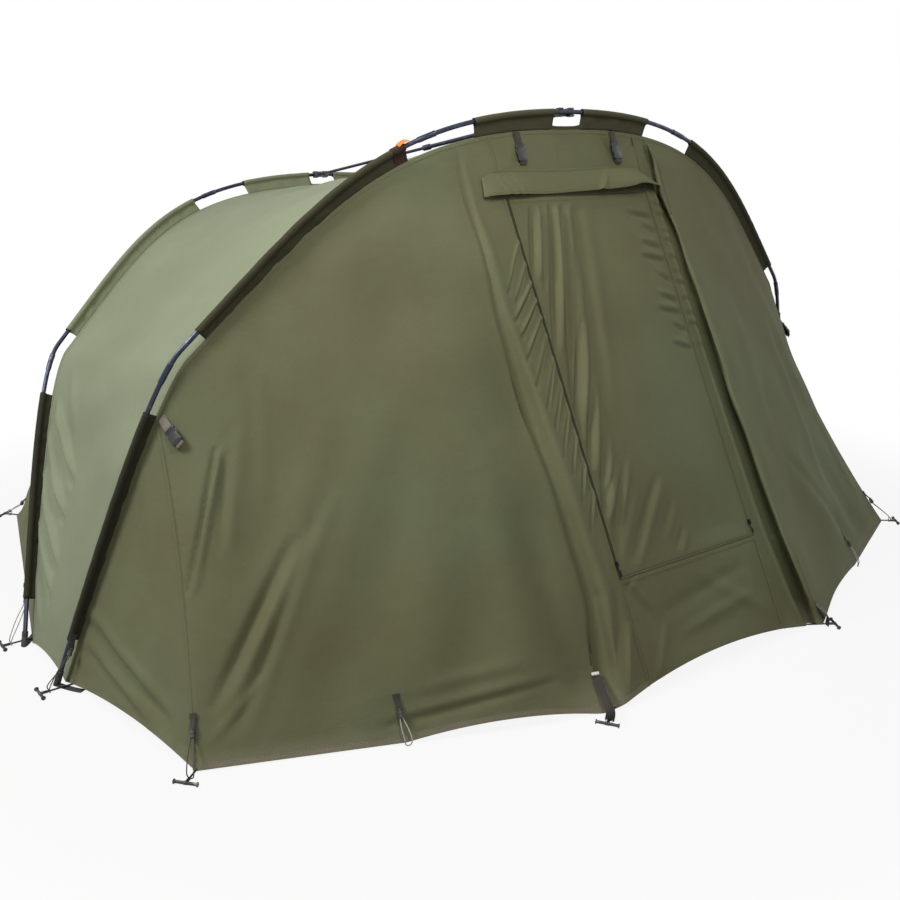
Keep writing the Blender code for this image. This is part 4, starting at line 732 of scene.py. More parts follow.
def front_panel_grid(side, rows=290, columns=WIDE_COLUMNS, strip_columns=34, above_rows=30):
    """A front panel, drawn as if on the left: seam of the wing, door section's edge with its tuck, zip."""
    corner, door_corner = on_ground(FRONT_CORNER), on_ground(DOOR_CORNER)
    heights, lines = DOOR_LINES[side]
    top_share = FRONT.share_at(across=lines[-1])
    shares = shares_between(-LOW_SLEEVE[0], -top_share, columns)
    part = np.linspace(0, 1, columns)
    bottoms = hem_points(corner, door_corner, part, 0)
    over = np.clip((part - MIDDLE_LOOP_SHARE) / (1 - MIDDLE_LOOP_SHARE), 0, 1)
    bottoms[:, 2] += FRONT_HEM_RISE * bow(over)
    top = FRONT.seam(-FRONT.share_at(across=ZIP_OUTER))[0]
    head, foot = on_door(-ZIP_OUTER, DOOR_HEAD), on_door(-ZIP_OUTER, door_hem_up(-ZIP_OUTER))
    above, below = np.linalg.norm(top - head), np.linalg.norm(head - foot)
    knee = above / (above + below)
    parts = np.concatenate([np.linspace(0, knee, above_rows)[:-1],
                            np.linspace(knee, 1, rows - above_rows + 1)])
    down = parts[:, None]
    wide = ruled(FRONT.seam(shares), bottoms, parts, PANEL_SAG * (1 - part))
    zip_line = np.where(down <= knee, mix(top, head, down / knee),
                        mix(head, foot, (down - knee) / (1 - knee)))
    # The last columns are drawn to the edge's own line
    start = FRONT.seam(-top_share)[0] - on_door(0, 0)
    up = mix(start @ DOOR_SLOPE, door_hem_up(-DOOR_CORNER[0]), parts)
    ease = np.clip(1 - parts / knee, 0, 1)
    line = on_door(-np.interp(up, heights, lines), up, start @ DOOR_OUT * ease)
    wide += (line - wide[:, -1])[:, None] * smoothstep((part - 0.55) / 0.45)[None, :, None]
    fade = smoothstep(parts / 0.06) * mix(TUCK_FOOT_SHARES[side], 1, smoothstep((1 - parts) / 0.06))
    width = mix(*TUCK_WIDTHS[side], smoothstep(parts / 0.8))
    depth = mix(*TUCK_DEPTHS[side], smoothstep(parts / 0.7)) * fade
    # The wide part dips or rises towards the tuck on its own
    lead = smoothstep((part - 0.70) / 0.30) ** 1.6 * TUCKS[side][0][1]
    wide += DOOR_OUT * (lead[None] * depth[:, None])[..., None]
    section = smooth_line(TUCKS[side], 3)[1:]
    flat = np.linspace(section[0, 0], section[-1, 0], len(section))
    place = mix(flat[None], section[None, :, 0], fade[:, None])
    tuck = (line[:, None] + unit(zip_line - line)[:, None] * (place * width[:, None])[..., None]
            + DOOR_OUT * (section[None, :, 1] * depth[:, None])[..., None])
    share = np.linspace(0, 1, strip_columns)[1:]
    strip = mix(tuck[:, -1:], zip_line[:, None], share[None, :, None])
    # At its top the strip follows the crown's seam
    grid = np.concatenate([wide, tuck, strip], axis=1)
    loose = grid[0, columns - 1:]
    crown_shares = [FRONT.share_at(across=far) for far in SEEN_ACROSS]
    crown = FRONT.seam(-np.interp(-loose[:, 0], SEEN_ACROSS, crown_shares))
    grid[:, columns - 1:] += (crown - loose)[None] * ease[:, None, None]
    grid[..., 2] = np.maximum(grid[..., 2], HEM)
    return grid


def flat_grid(tops, bottoms, rows):
    """A panel stretched straight from its tops to its bottoms."""
    return ruled(tops, bottoms, np.linspace(0, 1, rows), np.zeros(len(tops)))


def header_bulge(across, up):
    """How far the header's cloth stands in front of the door section's plane there."""
    seam = FRONT.seam(np.linspace(0, 0.3, 200))
    offset = seam - on_door(seam[:, 0], 0)
    top_up, top_out = (np.interp(np.abs(across), seam[:, 0], offset @ way) for way in (DOOR_SLOPE, DOOR_OUT))
    return np.maximum(0, top_out * (up - DOOR_HEAD) / (top_up - DOOR_HEAD))


# Folds of the door, from the upper end to the lower end beside the left zip. Each is across and up of both
# ends, half width and depth
DOOR_FOLDS = (
    (-0.190, 1.43, -0.268, 1.19, 0.007, 0.014), (-0.120, 1.43, -0.265, 0.98, 0.008, 0.018),
    (-0.160, 1.43, -0.240, 1.15, 0.006, 0.006), (-0.075, 1.42, -0.265, 0.80, 0.012, 0.014),
    (-0.100, 1.25, -0.270, 0.72, 0.009, 0.010), (-0.150, 1.05, -0.272, 0.76, 0.007, 0.009),
    (-0.184, 0.878, -0.270, 0.631, 0.008, 0.013), (-0.200, 0.70, -0.270, 0.50, 0.009, 0.010),
    (-0.160, 0.62, -0.262, 0.42, 0.009, 0.009), (-0.02, 1.42, -0.16, 0.80, 0.025, 0.009))
# Folds that fan out from the door's lower left corner, in the same order
CORNER_FOLDS = ((-0.285, 0.485, -0.180, 0.635, 0.007, 0.006), (-0.265, 0.385, -0.150, 0.560, 0.012, 0.005),
                (-0.205, 0.370, -0.050, 0.560, 0.014, 0.008), (-0.085, 0.400, -0.010, 0.490, 0.010, 0.003),
                (-0.040, 0.356, 0.008, 0.410, 0.007, 0.004))
# Heights of the small wrinkles beside the right zip, on the door and on the front panel
DOOR_WRINKLES = (1.399, 1.34, 1.298, 1.245, 1.2, 1.14, 1.073, 1.03, 0.979, 0.92)
RIGHT_WRINKLES = (1.385, 1.345, 1.30, 1.262, 1.21, 1.168, 1.12, 1.078, 1.03, 0.985, 0.93)


def door_step(across, up):
    return on_door(across, up) - on_door(0, 0)


def door_grid(rows=170, columns=140):
    """The zipped door, bellied a little, with its folds."""
    length = DOOR_HEAD - DOOR_FOOT
    across, down = np.meshgrid(np.linspace(-ZIP_INNER, ZIP_INNER, columns), np.linspace(0, length, rows))
    out = DOOR_BELLY * np.cos(math.pi / 2 * across / ZIP_HALF_SPACING) * np.sin(math.pi * down / length)
    grid = on_door(across, DOOR_HEAD - down, out)
    creases = []
    for *ends, width, depth in DOOR_FOLDS:
        creases += door_pleat(ends[:2], ends[2:], width, depth, (0.026, 0, 0))
    for count, up in enumerate(DOOR_WRINKLES):
        sway = math.sin(count * 2.1)
        creases += door_pleat((0.272, up - 0.010 + 0.006 * sway), (0.195 - 0.025 * sway, up + 0.018),
                              0.006, 0.0062 + 0.0008 * sway, door_step(0.004, 0.015))
    for *ends, width, depth in CORNER_FOLDS:
        creases += door_pleat(ends[:2], ends[2:], width, depth, door_step(0.018, -0.014))
    pushed = creased(grid, creases, ripple=0.002, seed=10, hold=0.05)
    # Its head stays flat, so that it can swing out under the hood
    hold = np.clip((ZIP_INNER - abs(across)) / 0.014, 0, 1) * smoothstep((down - 0.016) / 0.035)
    hold = hold * np.clip((length - down) / 0.01, 0, 1)
    return mix(grid, pushed, hold[..., None])


# Slanting creases of the hood, most of them at its left end: place, lean, width, height
HOOD_CREASES = ((0.70, -0.16, 0.014, 0.009), (0.10, 0.05, 0.010, 0.0045), (0.145, 0.05, 0.010, 0.004),
                (0.19, 0.04, 0.010, 0.003), (0.86, -0.05, 0.012, 0.005))


def hood_grid(rows=24, columns=90):
    """The rain flap: sewn along its top, standing out at its free edge and most at the right."""
    part, place = np.meshgrid(np.linspace(0, 1, rows), np.linspace(0, 1, columns), indexing="ij")
    # Its left end is cut nearly square and its right end on a long slant
    left = np.interp(part, (0, 0.25, 1), (-0.300, -0.350, -0.360))
    right = np.interp(part, (0, 0.1, 1), (0.244, 0.266, 0.346))
    across = mix(left, right, place)
    up = HOOD_FOOT + HOOD_HEIGHT * (1 - part) + 0.009 * part * np.exp(-((place - 0.87) / 0.07) ** 2)
    lift = 0.008 + 0.026 * np.exp(-((place - 0.82) / 0.16) ** 2) + 0.004 * np.sin(place * 14)
    ends = np.clip(np.minimum(place, 1 - place) / 0.04, 0, 1) ** 0.5
    out = 0.004 + header_bulge(across, up) + lift * np.sin(math.pi / 2 * part) ** 1.3 * ends
    for middle, lean, width, height in HOOD_CREASES:
        out = out + height * np.exp(-((place - middle - lean * (part - 0.5)) / width) ** 2) * part * ends
    return on_door(across, up, out)


LEFT_CREASES = [
    *pleat((-1.172, -0.522, 0.673), (-1.307, -0.619, 0.357), 0.008, 0.016),
    *pleat((-1.120, -0.50, 0.70), (-1.221, -0.624, 0.449), 0.012, 0.007, (0.024, -0.01, 0)),
    *pleat((-1.03, -0.46, 0.83), (-1.10, -0.60, 0.56), 0.012, 0.004, (0.022, -0.01, 0)),
    *pleat((-1.060, -0.70, 0.45), (-1.330, -0.79, 0.13), 0.018, 0.020, (0.034, -0.012, 0)),
    *pleat((-0.950, -0.66, 0.52), (-1.300, -0.84, 0.08), 0.016, 0.009, (0.028, -0.01, 0)),
    ((-1.211, -0.812, 0.176), (-1.362, -0.825, 0.058), 0.010, 0.006),
    ((-0.90, -0.62, 0.72), (-1.18, -0.76, 0.30), 0.05, 0.010),
    ((-0.70, -0.60, 0.80), (-0.95, -0.78, 0.35), 0.07, 0.008),
    *pleat((-0.55, -1.13, 0.085), (-0.98, -1.00, 0.045), 0.012, 0.005, (0, 0, 0.022)),
    ((-0.62, -1.06, 0.13), (-0.86, -0.99, 0.11), 0.018, 0.005),
    # Cloth drawn down into the hollow beside the door section's edge
    ((-0.50, -0.98, 0.46), (-0.475, -1.20, 0.04), 0.040, -0.012),
    ((-0.58, -0.90, 0.60), (-0.60, -1.10, 0.10), 0.05, 0.010)]
RIGHT_CREASES = [
    *pleat((-1.00, -0.66, 0.62), (-1.22, -0.78, 0.33), 0.010, 0.006),
    *pleat((-1.10, -0.74, 0.30), (-1.30, -0.82, 0.16), 0.010, 0.006),
    ((-0.55, -0.70, 0.90), (-0.52, -0.95, 0.45), 0.05, 0.008),
    ((-0.80, -0.60, 0.80), (-0.90, -0.85, 0.28), 0.045, 0.010),
    ((-1.05, -0.55, 0.60), (-1.25, -0.76, 0.12), 0.03, 0.009),
    ((-0.62, -0.93, 0.42), (-0.95, -0.95, 0.10), 0.03, -0.008)]
# Wrinkles beside the left zip, each from its upper end at the zip to its lower end: across, up, twice
ZIP_WRINKLES = (
    (-0.282, 1.289, -0.375, 1.150), (-0.282, 1.225, -0.352, 1.125), (-0.282, 1.168, -0.375, 1.070),
    (-0.282, 1.118, -0.368, 1.024), (-0.282, 1.069, -0.372, 0.961), (-0.282, 1.016, -0.366, 0.886),
    (-0.282, 0.95, -0.352, 0.82), (-0.282, 0.88, -0.347, 0.76), (-0.282, 0.81, -0.35, 0.68),
    (-0.282, 0.74, -0.335, 0.63), (-0.282, 0.66, -0.33, 0.55), (-0.284, 0.57, -0.33, 0.47))


def front_panel(side):
    """A front panel with its folds, drawn as if on the left."""
    creases = []
    if side == "left":
        creases += LEFT_CREASES
        for ends in ZIP_WRINKLES:
            creases += door_pleat(ends[:2], ends[2:], 0.0045, 0.015, door_step(0.007, 0.012))
        creases.append((on_door(-0.31, 0.30), on_door(-0.385, 0.05), 0.014, -0.008))
        creases.append((on_door(-0.30, 0.20), on_door(-0.36, 0.04), 0.010, 0.008))
    else:
        for count, up in enumerate(RIGHT_WRINKLES):
            wave = math.sin(count * 2.3)
            creases += door_pleat((-0.290, up + 0.008 * wave), (-0.338, up - 0.012 + 0.006 * wave),
                                  0.007, 0.0028 + 0.001 * wave, door_step(0, 0.014))
        creases += RIGHT_CREASES
    return creased(front_panel_grid(side), creases, ripple=0.003, seed=11 if side == "left" else 12)


def as_sewn(grid, side):
    """A left panel's grid as it is, or mirrored with its columns still running from left to right."""
    return grid if side == "left" else grid[:, ::-1] * MIRROR


SIDE_CREASES = [
    *pleat((-1.277, 0.404, 0.589), (-1.342, 0.105, 0.452), 0.011, 0.030, (0, 0.004, 0.024)),
    *pleat((-1.319, 0.38, 0.51), (-1.384, 0.096, 0.345), 0.011, 0.033, (0, 0.004, 0.024)),
    *pleat((-1.376, 0.32, 0.41), (-1.434, 0.037, 0.22), 0.011, 0.030, (0, 0.004, 0.024)),
    *pleat((-1.421, 0.24, 0.28), (-1.463, 0.006, 0.144), 0.010, 0.025, (0, 0.004, 0.020)),
    ((-1.44, 0.16, 0.16), (-1.50, 0.02, 0.06), 0.012, 0.006),
    ((-1.18, 0.42, 0.70), (-1.27, 0.20, 0.58), 0.022, 0.006)]
mirrored_creases = [(start * MIRROR, end * MIRROR, *sizes) for start, end, *sizes in SIDE_CREASES]
roof = creased(roof_grid(), SIDE_CREASES + mirrored_creases, ripple=0.003, seed=3)
rear = creased(rear_grid(), [
    ((-1.25, 0.75, 0.6), (-1.2, 1.1, 0.05), 0.02, 0.007),
    ((-0.9, 0.9, 0.75), (-1.15, 1.12, 0.1), 0.03, 0.008),
    ((1.2, 0.8, 0.6), (1.2, 1.1, 0.06), 0.02, 0.008),
    ((0.8, 0.9, 0.8), (1.12, 1.13, 0.1), 0.03, 0.007),
    ((-0.3, 0.9, 0.9), (-0.5, 1.25, 0.1), 0.05, 0.006),
    ((0.4, 0.9, 0.9), (0.45, 1.25, 0.1), 0.05, 0.006)],
    ripple=0.003, seed=5)
wing_edges = wing_columns(FRONT, on_ground(FRONT_CORNER), WING_HEM_RISE, 60)
wing = creased(ruled(*wing_edges[:2], np.linspace(0, 1, 70), wing_edges[2]), [
    *pleat((-1.457, -0.27, 0.19), (-1.424, -0.70, 0.07), 0.013, 0.010, (0, 0.006, 0.026)),
    *pleat((-1.48, -0.30, 0.12), (-1.44, -0.62, 0.035), 0.010, 0.007, (0, 0.006, 0.02)),
    ((-1.30, -0.36, 0.62), (-1.36, -0.50, 0.35), 0.02, 0.004)], ripple=0.002, seed=7)
fronts = {side: front_panel(side) for side in SIDES}
header_share = FRONT.share_at(across=ZIP_OUTER)
header_tops = FRONT.seam(np.linspace(-header_share, header_share, 60))
header = creased(flat_grid(header_tops, on_door(header_tops[:, 0], DOOR_HEAD), 26), [
    *door_pleat((0.288, 1.597), (0.252, 1.530), 0.010, 0.005, (0.018, 0, 0)),
    *door_pleat((0.15, 1.61), (0.208, 1.535), 0.009, 0.008, (0.016, 0, 0)),
    (on_door(-0.20, 1.60), on_door(-0.24, 1.52), 0.012, 0.004),
    (on_door(-0.05, 1.62), on_door(-0.06, 1.52), 0.01, 0.003)], ripple=0.002, seed=8, hold=0.04)
across = np.linspace(-ZIP_OUTER, ZIP_OUTER, 60)
valance = flat_grid(on_door(across, DOOR_FOOT - ZIP_WIDTH), on_door(across, door_hem_up(across)), 34)
valance = creased(valance, [
    *door_pleat((-0.270, 0.311), (-0.20, 0.20), 0.010, 0.006, (0.016, 0, 0)),
    (on_door(-0.24, 0.05), on_door(-0.16, 0.17), 0.010, 0.006),
    (on_door(-0.15, 0.20), on_door(0.2, 0.25), 0.020, -0.007),
    (on_door(-0.10, 0.13), on_door(0.2, 0.17), 0.016, 0.006),
    *door_pleat((-0.226, 0.324), (-0.275, 0.29), 0.008, 0.005, (0.016, 0, 0)),
    (on_door(0.0, 0.28), on_door(0.25, 0.10), 0.02, 0.006)], ripple=0.003, seed=9, hold=0.06)
door, hood = door_grid(), hood_grid()

sewn_panel("roof_panel", roof, cloth=roof_cloth)
sewn_panel("rear_panel", rear)
for side in SIDES:
    sewn_panel(f"front_wing_{side}", as_sewn(wing, side))
for side in SIDES:
    sewn_panel(f"front_panel_{side}", as_sewn(fronts[side], side))
sewn_panel("door_header", header)
sewn_panel("door_valance", valance)
sewn_panel("door_panel", door, "door")
sewn_panel("door_hood", hood, "hood")


# Seams: a folded strip of the cloth's own edge lies along each sewn line, with one or two rows of stitches

# Lines of stitches for each body: points, and the directions out of the cloth there
stitch_lines = {name: [] for name in frame["bodies"]}
# How the grid is turned so that the edge is its first row
EDGES = {"top": lambda grid: grid, "bottom": lambda grid: grid[::-1],
         "left": lambda grid: grid.transpose(1, 0, 2), "right": lambda grid: grid.transpose(1, 0, 2)[::-1]}
HEM_ROW = (0.85,)
# Outline across a strip: shares of its width and of its height
STRIP_PROFILE = ((0, -0.3), (0, 0.75), (0.1, 1), (0.5, 1), (0.9, 1), (1, 0.7), (1, -0.3), (0.5, -0.3))


def inset(rows, distances, depth=40):
    """Points that far in from the first row, measured along each column."""
    far = run_along(rows[:depth], 0)
    return np.array([[np.interp(distance, far[:, column], rows[:depth, column, axis]) for axis in range(3)]
                     for column, distance in enumerate(distances)])


def strip_on(name, grid, edge, width, rows=(0.2, 0.8), height=0.0009, body="tent", cloth=front_cloth,
             slot="front_cloth", start=0.0, skip=0):
    """A flat folded strip that hugs a panel along one edge: top, bottom, left or right, with its stitches."""
    points, normals = EDGES[edge](grid), EDGES[edge](normals_of(grid))
    count = np.arange(points.shape[1])
    wave = 1 + 0.05 * np.sin(count * 0.9) + 0.04 * np.sin(count * 0.31)
    upright = unit(normals[0] + normals[2])

    def lying(share, up):
        return inset(points, start + width * share * wave) + upright * (CLOTH / 2 + height * up)

    ring = [lying(share, up) for share, up in STRIP_PROFILE]
    piece(name, rings_mesh(name, np.stack(ring, axis=1)), cloth, body, ())
    for share in rows:
        stitch_lines[body].append((lying(share, 1.1)[skip:], upright[skip:]))


roof_look = {"cloth": roof_cloth, "slot": "roof_cloth"}
strip_on("roof_seam_front", roof, "top", 0.014, **roof_look)
strip_on("roof_seam_rear", roof, "bottom", 0.014, **roof_look)
for side in SIDES:
    strip_on(f"roof_hem_{side}", roof, side, 0.013, HEM_ROW, **roof_look)
strip_on("rear_seam", rear, "top", 0.014)
strip_on("rear_hem", rear, "bottom", 0.014, HEM_ROW)
for side, flip in SIDES.items():
    strip_on(f"wing_sleeve_seam_{side}", wing * flip, "top", 0.012)
    strip_on(f"wing_hem_{side}", wing * flip, "bottom", 0.013, HEM_ROW)
    strip_on(f"wing_seam_{side}", wing * flip, "right", 0.013, height=0.0010)
    strip_on(f"front_seam_{side}", fronts[side] * flip, "top", 0.013)
    # Only the left front hem takes the pale tape, painted light; the right one has the plain cloth
    tape = hem_tape if side == "left" else front_cloth
    strip_on(f"front_hem_{side}", fronts[side] * flip, "bottom", 0.015, HEM_ROW, cloth=tape)
    strip_on(f"zip_guard_{side}", fronts[side] * flip, "right", 0.009, (0.75,), 0.0012)
strip_on("header_seam", header, "top", 0.013)
strip_on("header_foot_seam", header, "bottom", 0.012, start=0.004)
strip_on("valance_seam", valance, "top", 0.012, height=0.0010)
strip_on("valance_hem", valance, "bottom", 0.013, HEM_ROW)
for edge in EDGES:
    strip_on(f"door_edge_{edge}", door, edge, 0.010, (0.7,), 0.0008, "door",
             start=0.004 if edge == "top" else 0.0, skip=2 if edge in SIDES else 0)
strip_on("hood_hem", hood, "bottom", 0.010, (0.7,), 0.0008, "hood")
strip_on("hood_seam", hood, "top", 0.009, (0.5,), 0.0008, "hood")


# Sleeves: strips folded round the ribs and sewn down on the seams, hollow for the rib


def sleeve_ring(rib, share, sides=18):
    """One outline of a sleeve: round the rib, then two plies together down to the seam."""
    point, _, normal, cross = rib.at_one(share)
    half_web = 0.0010
    gap = 3 * math.asin(half_web / SLEEVE_RADIUS)
    webs = np.linspace(rib.depth(share), SLEEVE_RADIUS + 0.004, 6)
    flares = half_web + 0.0016 * np.exp(-(webs - SLEEVE_RADIUS) / 0.006)
    angles = np.linspace(gap, math.tau - gap, sides)
    down = np.concatenate([webs, np.cos(angles) * SLEEVE_RADIUS, webs[::-1]])
    out = np.concatenate([flares, np.sin(angles) * SLEEVE_RADIUS, -flares[::-1]])
    return point + normal * down[:, None] + cross * out[:, None], point, normal, cross


def crown_web(rib, share, place):
    """What is left of the crown sleeve below its window: the foot of the web, arched."""
    point, _, normal, cross = rib.at_one(share)
    depth = rib.depth(share)
    arch = depth - 0.010 - 0.004 * min(1, max(0, (abs(place) - 0.03) / 0.03)) ** 2
    outline = np.array([(depth, 0.001), (arch, 0.001), (arch - 0.001, 0), (arch, -0.001), (depth, -0.001)])
    return point + normal * outline[:, :1] + cross * outline[:, 1:]


def sleeve(rib, word, start, end, material, window=False):
    """A sleeve between two shares of the rib, swaying softly, with its stitches on both faces."""
    name = f"{rib.name}_sleeve_{word}"
    length = (end - start) * HALF_LENGTH
    shares = np.linspace(start, end, max(40, int(length / 0.009)))
    random = np.random.default_rng(sum(map(ord, name)))
    waves = [(random.uniform(0.03, 0.16), random.uniform(0, math.tau)) for _ in range(5)]
    rings = []
    for share, place in zip(shares, (shares - start) * HALF_LENGTH):
        ring, point, normal, cross = sleeve_ring(rib, share)
        web = np.clip(((ring - point) @ normal - 0.010) / 0.03, 0, 1)
        sway = sum(0.0005 * math.sin(place * math.tau / size + phase) for size, phase in waves)
        ease = min(1, place / 0.05, (length - place) / 0.05)
        rings.append(ring + cross * (sway * (0.4 + bow(web) * 1.25) * (0.4 + 0.6 * ease))[:, None])
    rings = np.array(rings)
    if window:
        # Hem tube and most of the web are cut away over the crown, on a slant, where the rib lies bare
        middle = (shares - (start + end) / 2) * HALF_LENGTH
        low = [crown_web(rib, share, place) for share, place in zip(shares, middle)
               if -0.062 <= place <= 0.06]
        parts = [grid_mesh(name, rings[kept], wrap=True) for kept in (middle <= -0.048, middle >= 0.052)]
        mesh = joined(name, [*parts, rings_mesh(name, low)])
    else:
        mesh = grid_mesh(name, rings, wrap=True)
    thicken(piece(name, faced_outward(mesh), material, "tent", [name]), 0.0005, -1)
    # Rows of stitches across each end's hem, on both faces
    for share in (start + 0.012 / HALF_LENGTH, end - 0.012 / HALF_LENGTH):
        point, _, normal, cross = rib.at_one(share)
        downs = np.linspace(0.014, rib.depth(share) - 0.004, 8)[:, None]
        for face in (-1, 1):
            line = point + normal * downs + cross * face * 0.0022
            stitch_lines["tent"].append((line, np.tile(cross * face, (8, 1))))


# The front rib's side sleeves take the painted-shade cloth and the rear rib's the painted-light one; all low
# sleeves take the deeper painted shade
for rib, crown_cloth, side_cloth in ((FRONT, crown_sleeve_cloth, sleeve_cloth),
                                     (REAR, rear_sleeve_cloth, rear_sleeve_cloth)):
    sleeve(rib, "crown", -CROWN_SLEEVE, CROWN_SLEEVE, crown_cloth, window=True)
    for side, sign in (("left", -1), ("right", 1)):
        for word, ends, cloth in (("side", SIDE_SLEEVE, side_cloth), ("low", LOW_SLEEVE, low_sleeve_cloth)):
            sleeve(rib, f"{word}_{side}", *sorted(sign * share for share in ends), cloth)


# Ribs: tubes plugged together in swaged sockets, each socket at the upper end of the lower tube

RIB_TUBES = (("3", -0.2, 0.2), ("4", 0.2, 0.6), ("5", 0.6, 1.0), ("2", -0.2, -0.6), ("1", -0.6, -1.0))
# Outlines of a socket and of a foot's boot: (distance from the tube's upper end or from the foot, radius)
SOCKET = (
    (0, RIB_RADIUS + 0.0003), (0, SOCKET_RADIUS), (0.0016, SOCKET_RADIUS + 0.0006), (0.0032, SOCKET_RADIUS),
    (SOCKET_LENGTH, SOCKET_RADIUS), (SOCKET_LENGTH + SOCKET_TAPER, RIB_RADIUS))
BOOT = np.array([(0.046, 0.0068), (0.044, 0.0088), (0.03, 0.0088), (0.028, 0.0078), (0.026, 0.0092),
                 (0.009, 0.0095)])


def rib_tubes(rib, longest=0.02, sides=20):
    """A rib's five tubes, bent along it in steps no longer than `longest`, and the boots at its feet."""
    for number, near, far in RIB_TUBES:
        metre = math.copysign(1 / HALF_LENGTH, far)
        ends_at_foot = number in "15"
        stops = [(near + run * metre, radius) for run, radius in SOCKET]
        if number == "3":
            stops = [(near, RIB_RADIUS)]
        stops.append((far - TIP_LENGTH * metre * ends_at_foot, RIB_RADIUS))
        bent = [stops[0]]
        for low, high in zip(np.array(stops), np.array(stops[1:])):
            steps = max(1, int(abs(high[0] - low[0]) * HALF_LENGTH / longest))
            bent += [mix(low, high, step / steps) for step in range(1, steps + 1)]
        shares, radii = np.array(bent).T
        point, _, normal, cross = rib.at(shares)
        name = f"{rib.name}_rib_section_{number}"
        tube = rings_mesh(name, circles(point, normal, cross, radii, sides))
        piece(name, tube, pole_metal, "tent", [name])
        if ends_at_foot:
            point, _, normal, cross = rib.at(far - BOOT[:, 0] * metre)
            rings = circles(point, normal, cross, BOOT[:, 1], sides)
            spot, foot = rib.at(far)[0][0], rings[-1] - point[-1]
            soles = [spot + foot * (size, size, 0) for size in (1, 0.75)]
            for sole, height in zip(soles, (0.003, 0.0004)):
                sole[:, 2] = height
            boot = rings_mesh("foot", np.concatenate([rings, soles]))
            side = "left" if far < 0 else "right"
            piece(f"{rib.name}_foot_{side}", boot, foot_rubber, "tent", ())


rib_tubes(FRONT)
rib_tubes(REAR)


# Small fittings. Each is drawn in its own frame and placed by its origin, its upward and its outward way


def placed(rings, origin, up, out):
    """Points (across, out, up) of a fitting's own frame as points of the tent."""
    rings = np.asarray(rings, float)
    return origin + rings[..., :1] * np.cross(out, up) + rings[..., 1:2] * out + rings[..., 2:] * up


def upright_rings(stops, depth=0.0, across=0.0):
    """Rounded rectangles down a fitting: (height, half width, half thickness, corner), and their middles."""
    stops = np.asarray(stops, float)
    middles = np.stack(np.broadcast_arrays(across, depth, stops[:, 0]), axis=1)
    return box_rings(middles, X, Y, stops[:, 1], stops[:, 2], stops[:, 3])


def raised_rib(height, side, crest, depth):
    """A low rib across a fitting's face, from the sizes of its two sides and of its crest."""
    return upright_rings([(height - 0.0006, *side), (height, *crest), (height + 0.0006, *side)], depth)


BUCKLE_BAR = (
    (-0.0355, 0.0150, 0.0022, 0.001), (-0.0372, 0.0165, 0.0034, 0.002), (-0.0455, 0.0165, 0.0034, 0.002),
    (-0.0480, 0.0122, 0.0029, 0.001), (-0.0580, 0.0112, 0.0026, 0.001))
BUCKLE_SOCKET = (
    (-0.0552, 0.0140, 0.0030, 0.001), (-0.0562, 0.0158, 0.0042, 0.002),
    (-0.0600, 0.0150, 0.0045, 0.002), (-0.0680, 0.0150, 0.0045, 0.002),
    (-0.0730, 0.0165, 0.0045, 0.002), (-0.0825, 0.0165, 0.0045, 0.002),
    (-0.0850, 0.0125, 0.0030, 0.001))
BUCKLE_ARM = (
    (-0.0460, 0.0020, 0.0020, 0.0009), (-0.0520, 0.0021, 0.0022, 0.0009), (-0.0590, 0.0023, 0.0026, 0.001),
    (-0.0650, 0.0022, 0.0026, 0.001), (-0.0690, 0.0012, 0.0018, 0.0006))
BUCKLE_ARM_BOW = np.array([0.0128, 0.0145, 0.0164, 0.0160, 0.0140])
# A raised panel on the socket's face
BUCKLE_PANEL = (
    (-0.0775, 0.0100, 0.0006, 0.0005), (-0.0770, 0.0105, 0.0010, 0.0006),
    (-0.0700, 0.0105, 0.0010, 0.0006), (-0.0695, 0.0100, 0.0006, 0.0005))
BUCKLE_RIBS = (-0.0392, -0.0418, -0.0444)
BUCKLE_RIB_SIDE, BUCKLE_RIB_CREST = (0.0125, 0.0004, 0.0003), (0.0130, 0.0008, 0.0004)
# A strap's two plies and its tail, each as points of its line and its thickness
STRAP_PLIES = (
    (((0, 0, 0.002), (0, 0.0003, -0.012), (0, 0.0012, -0.026), (0, 0.0005, -0.037)), 0.0013),
    (((0, -0.0016, 0.001), (0, -0.0016, -0.014), (0, -0.0013, -0.026), (0, -0.0006, -0.036)), 0.0012),
    (((0, 0.0002, -0.083), (0, -0.0006, -0.089), (0, -0.0018, -0.093)), 0.0022))
STRAP_STITCHES = [(x, 0.0014, z) for x, z in ((-0.010, -0.001), (0.010, -0.001), (0.010, -0.014),
                                              (-0.010, -0.014), (-0.010, -0.001), (0.010, -0.014))]


def strap(name, origin, up, out, tape):
    """A doubled webbing strap, sewn down at its top, with a closed side-release buckle and a short tail."""
    parts = []
    for line, thick in STRAP_PLIES:
        line = placed(smooth_line(line, 5), origin, up, out)
        parts.append(dressed(ribbon(name, line, out, STRAP_WIDTH, thick), tape))
    shapes = [upright_rings(BUCKLE_BAR), upright_rings(BUCKLE_SOCKET)]
    shapes += [upright_rings(BUCKLE_ARM, across=BUCKLE_ARM_BOW * side) for side in (-1, 1)]
    shapes.append(upright_rings(BUCKLE_PANEL, depth=0.0044))
    shapes += [raised_rib(height, BUCKLE_RIB_SIDE, BUCKLE_RIB_CREST, 0.0033) for height in BUCKLE_RIBS]
    parts += [dressed(rings_mesh(name, placed(rings, origin, up, out)), buckle_plastic) for rings in shapes]
    piece(name + "_webbing", joined(name, parts), None, name, [name])
    box = smooth_line(STRAP_STITCHES, 1)
    stitch_lines[name].append((placed(box, origin, up, out), np.tile(out, (len(box), 1))))


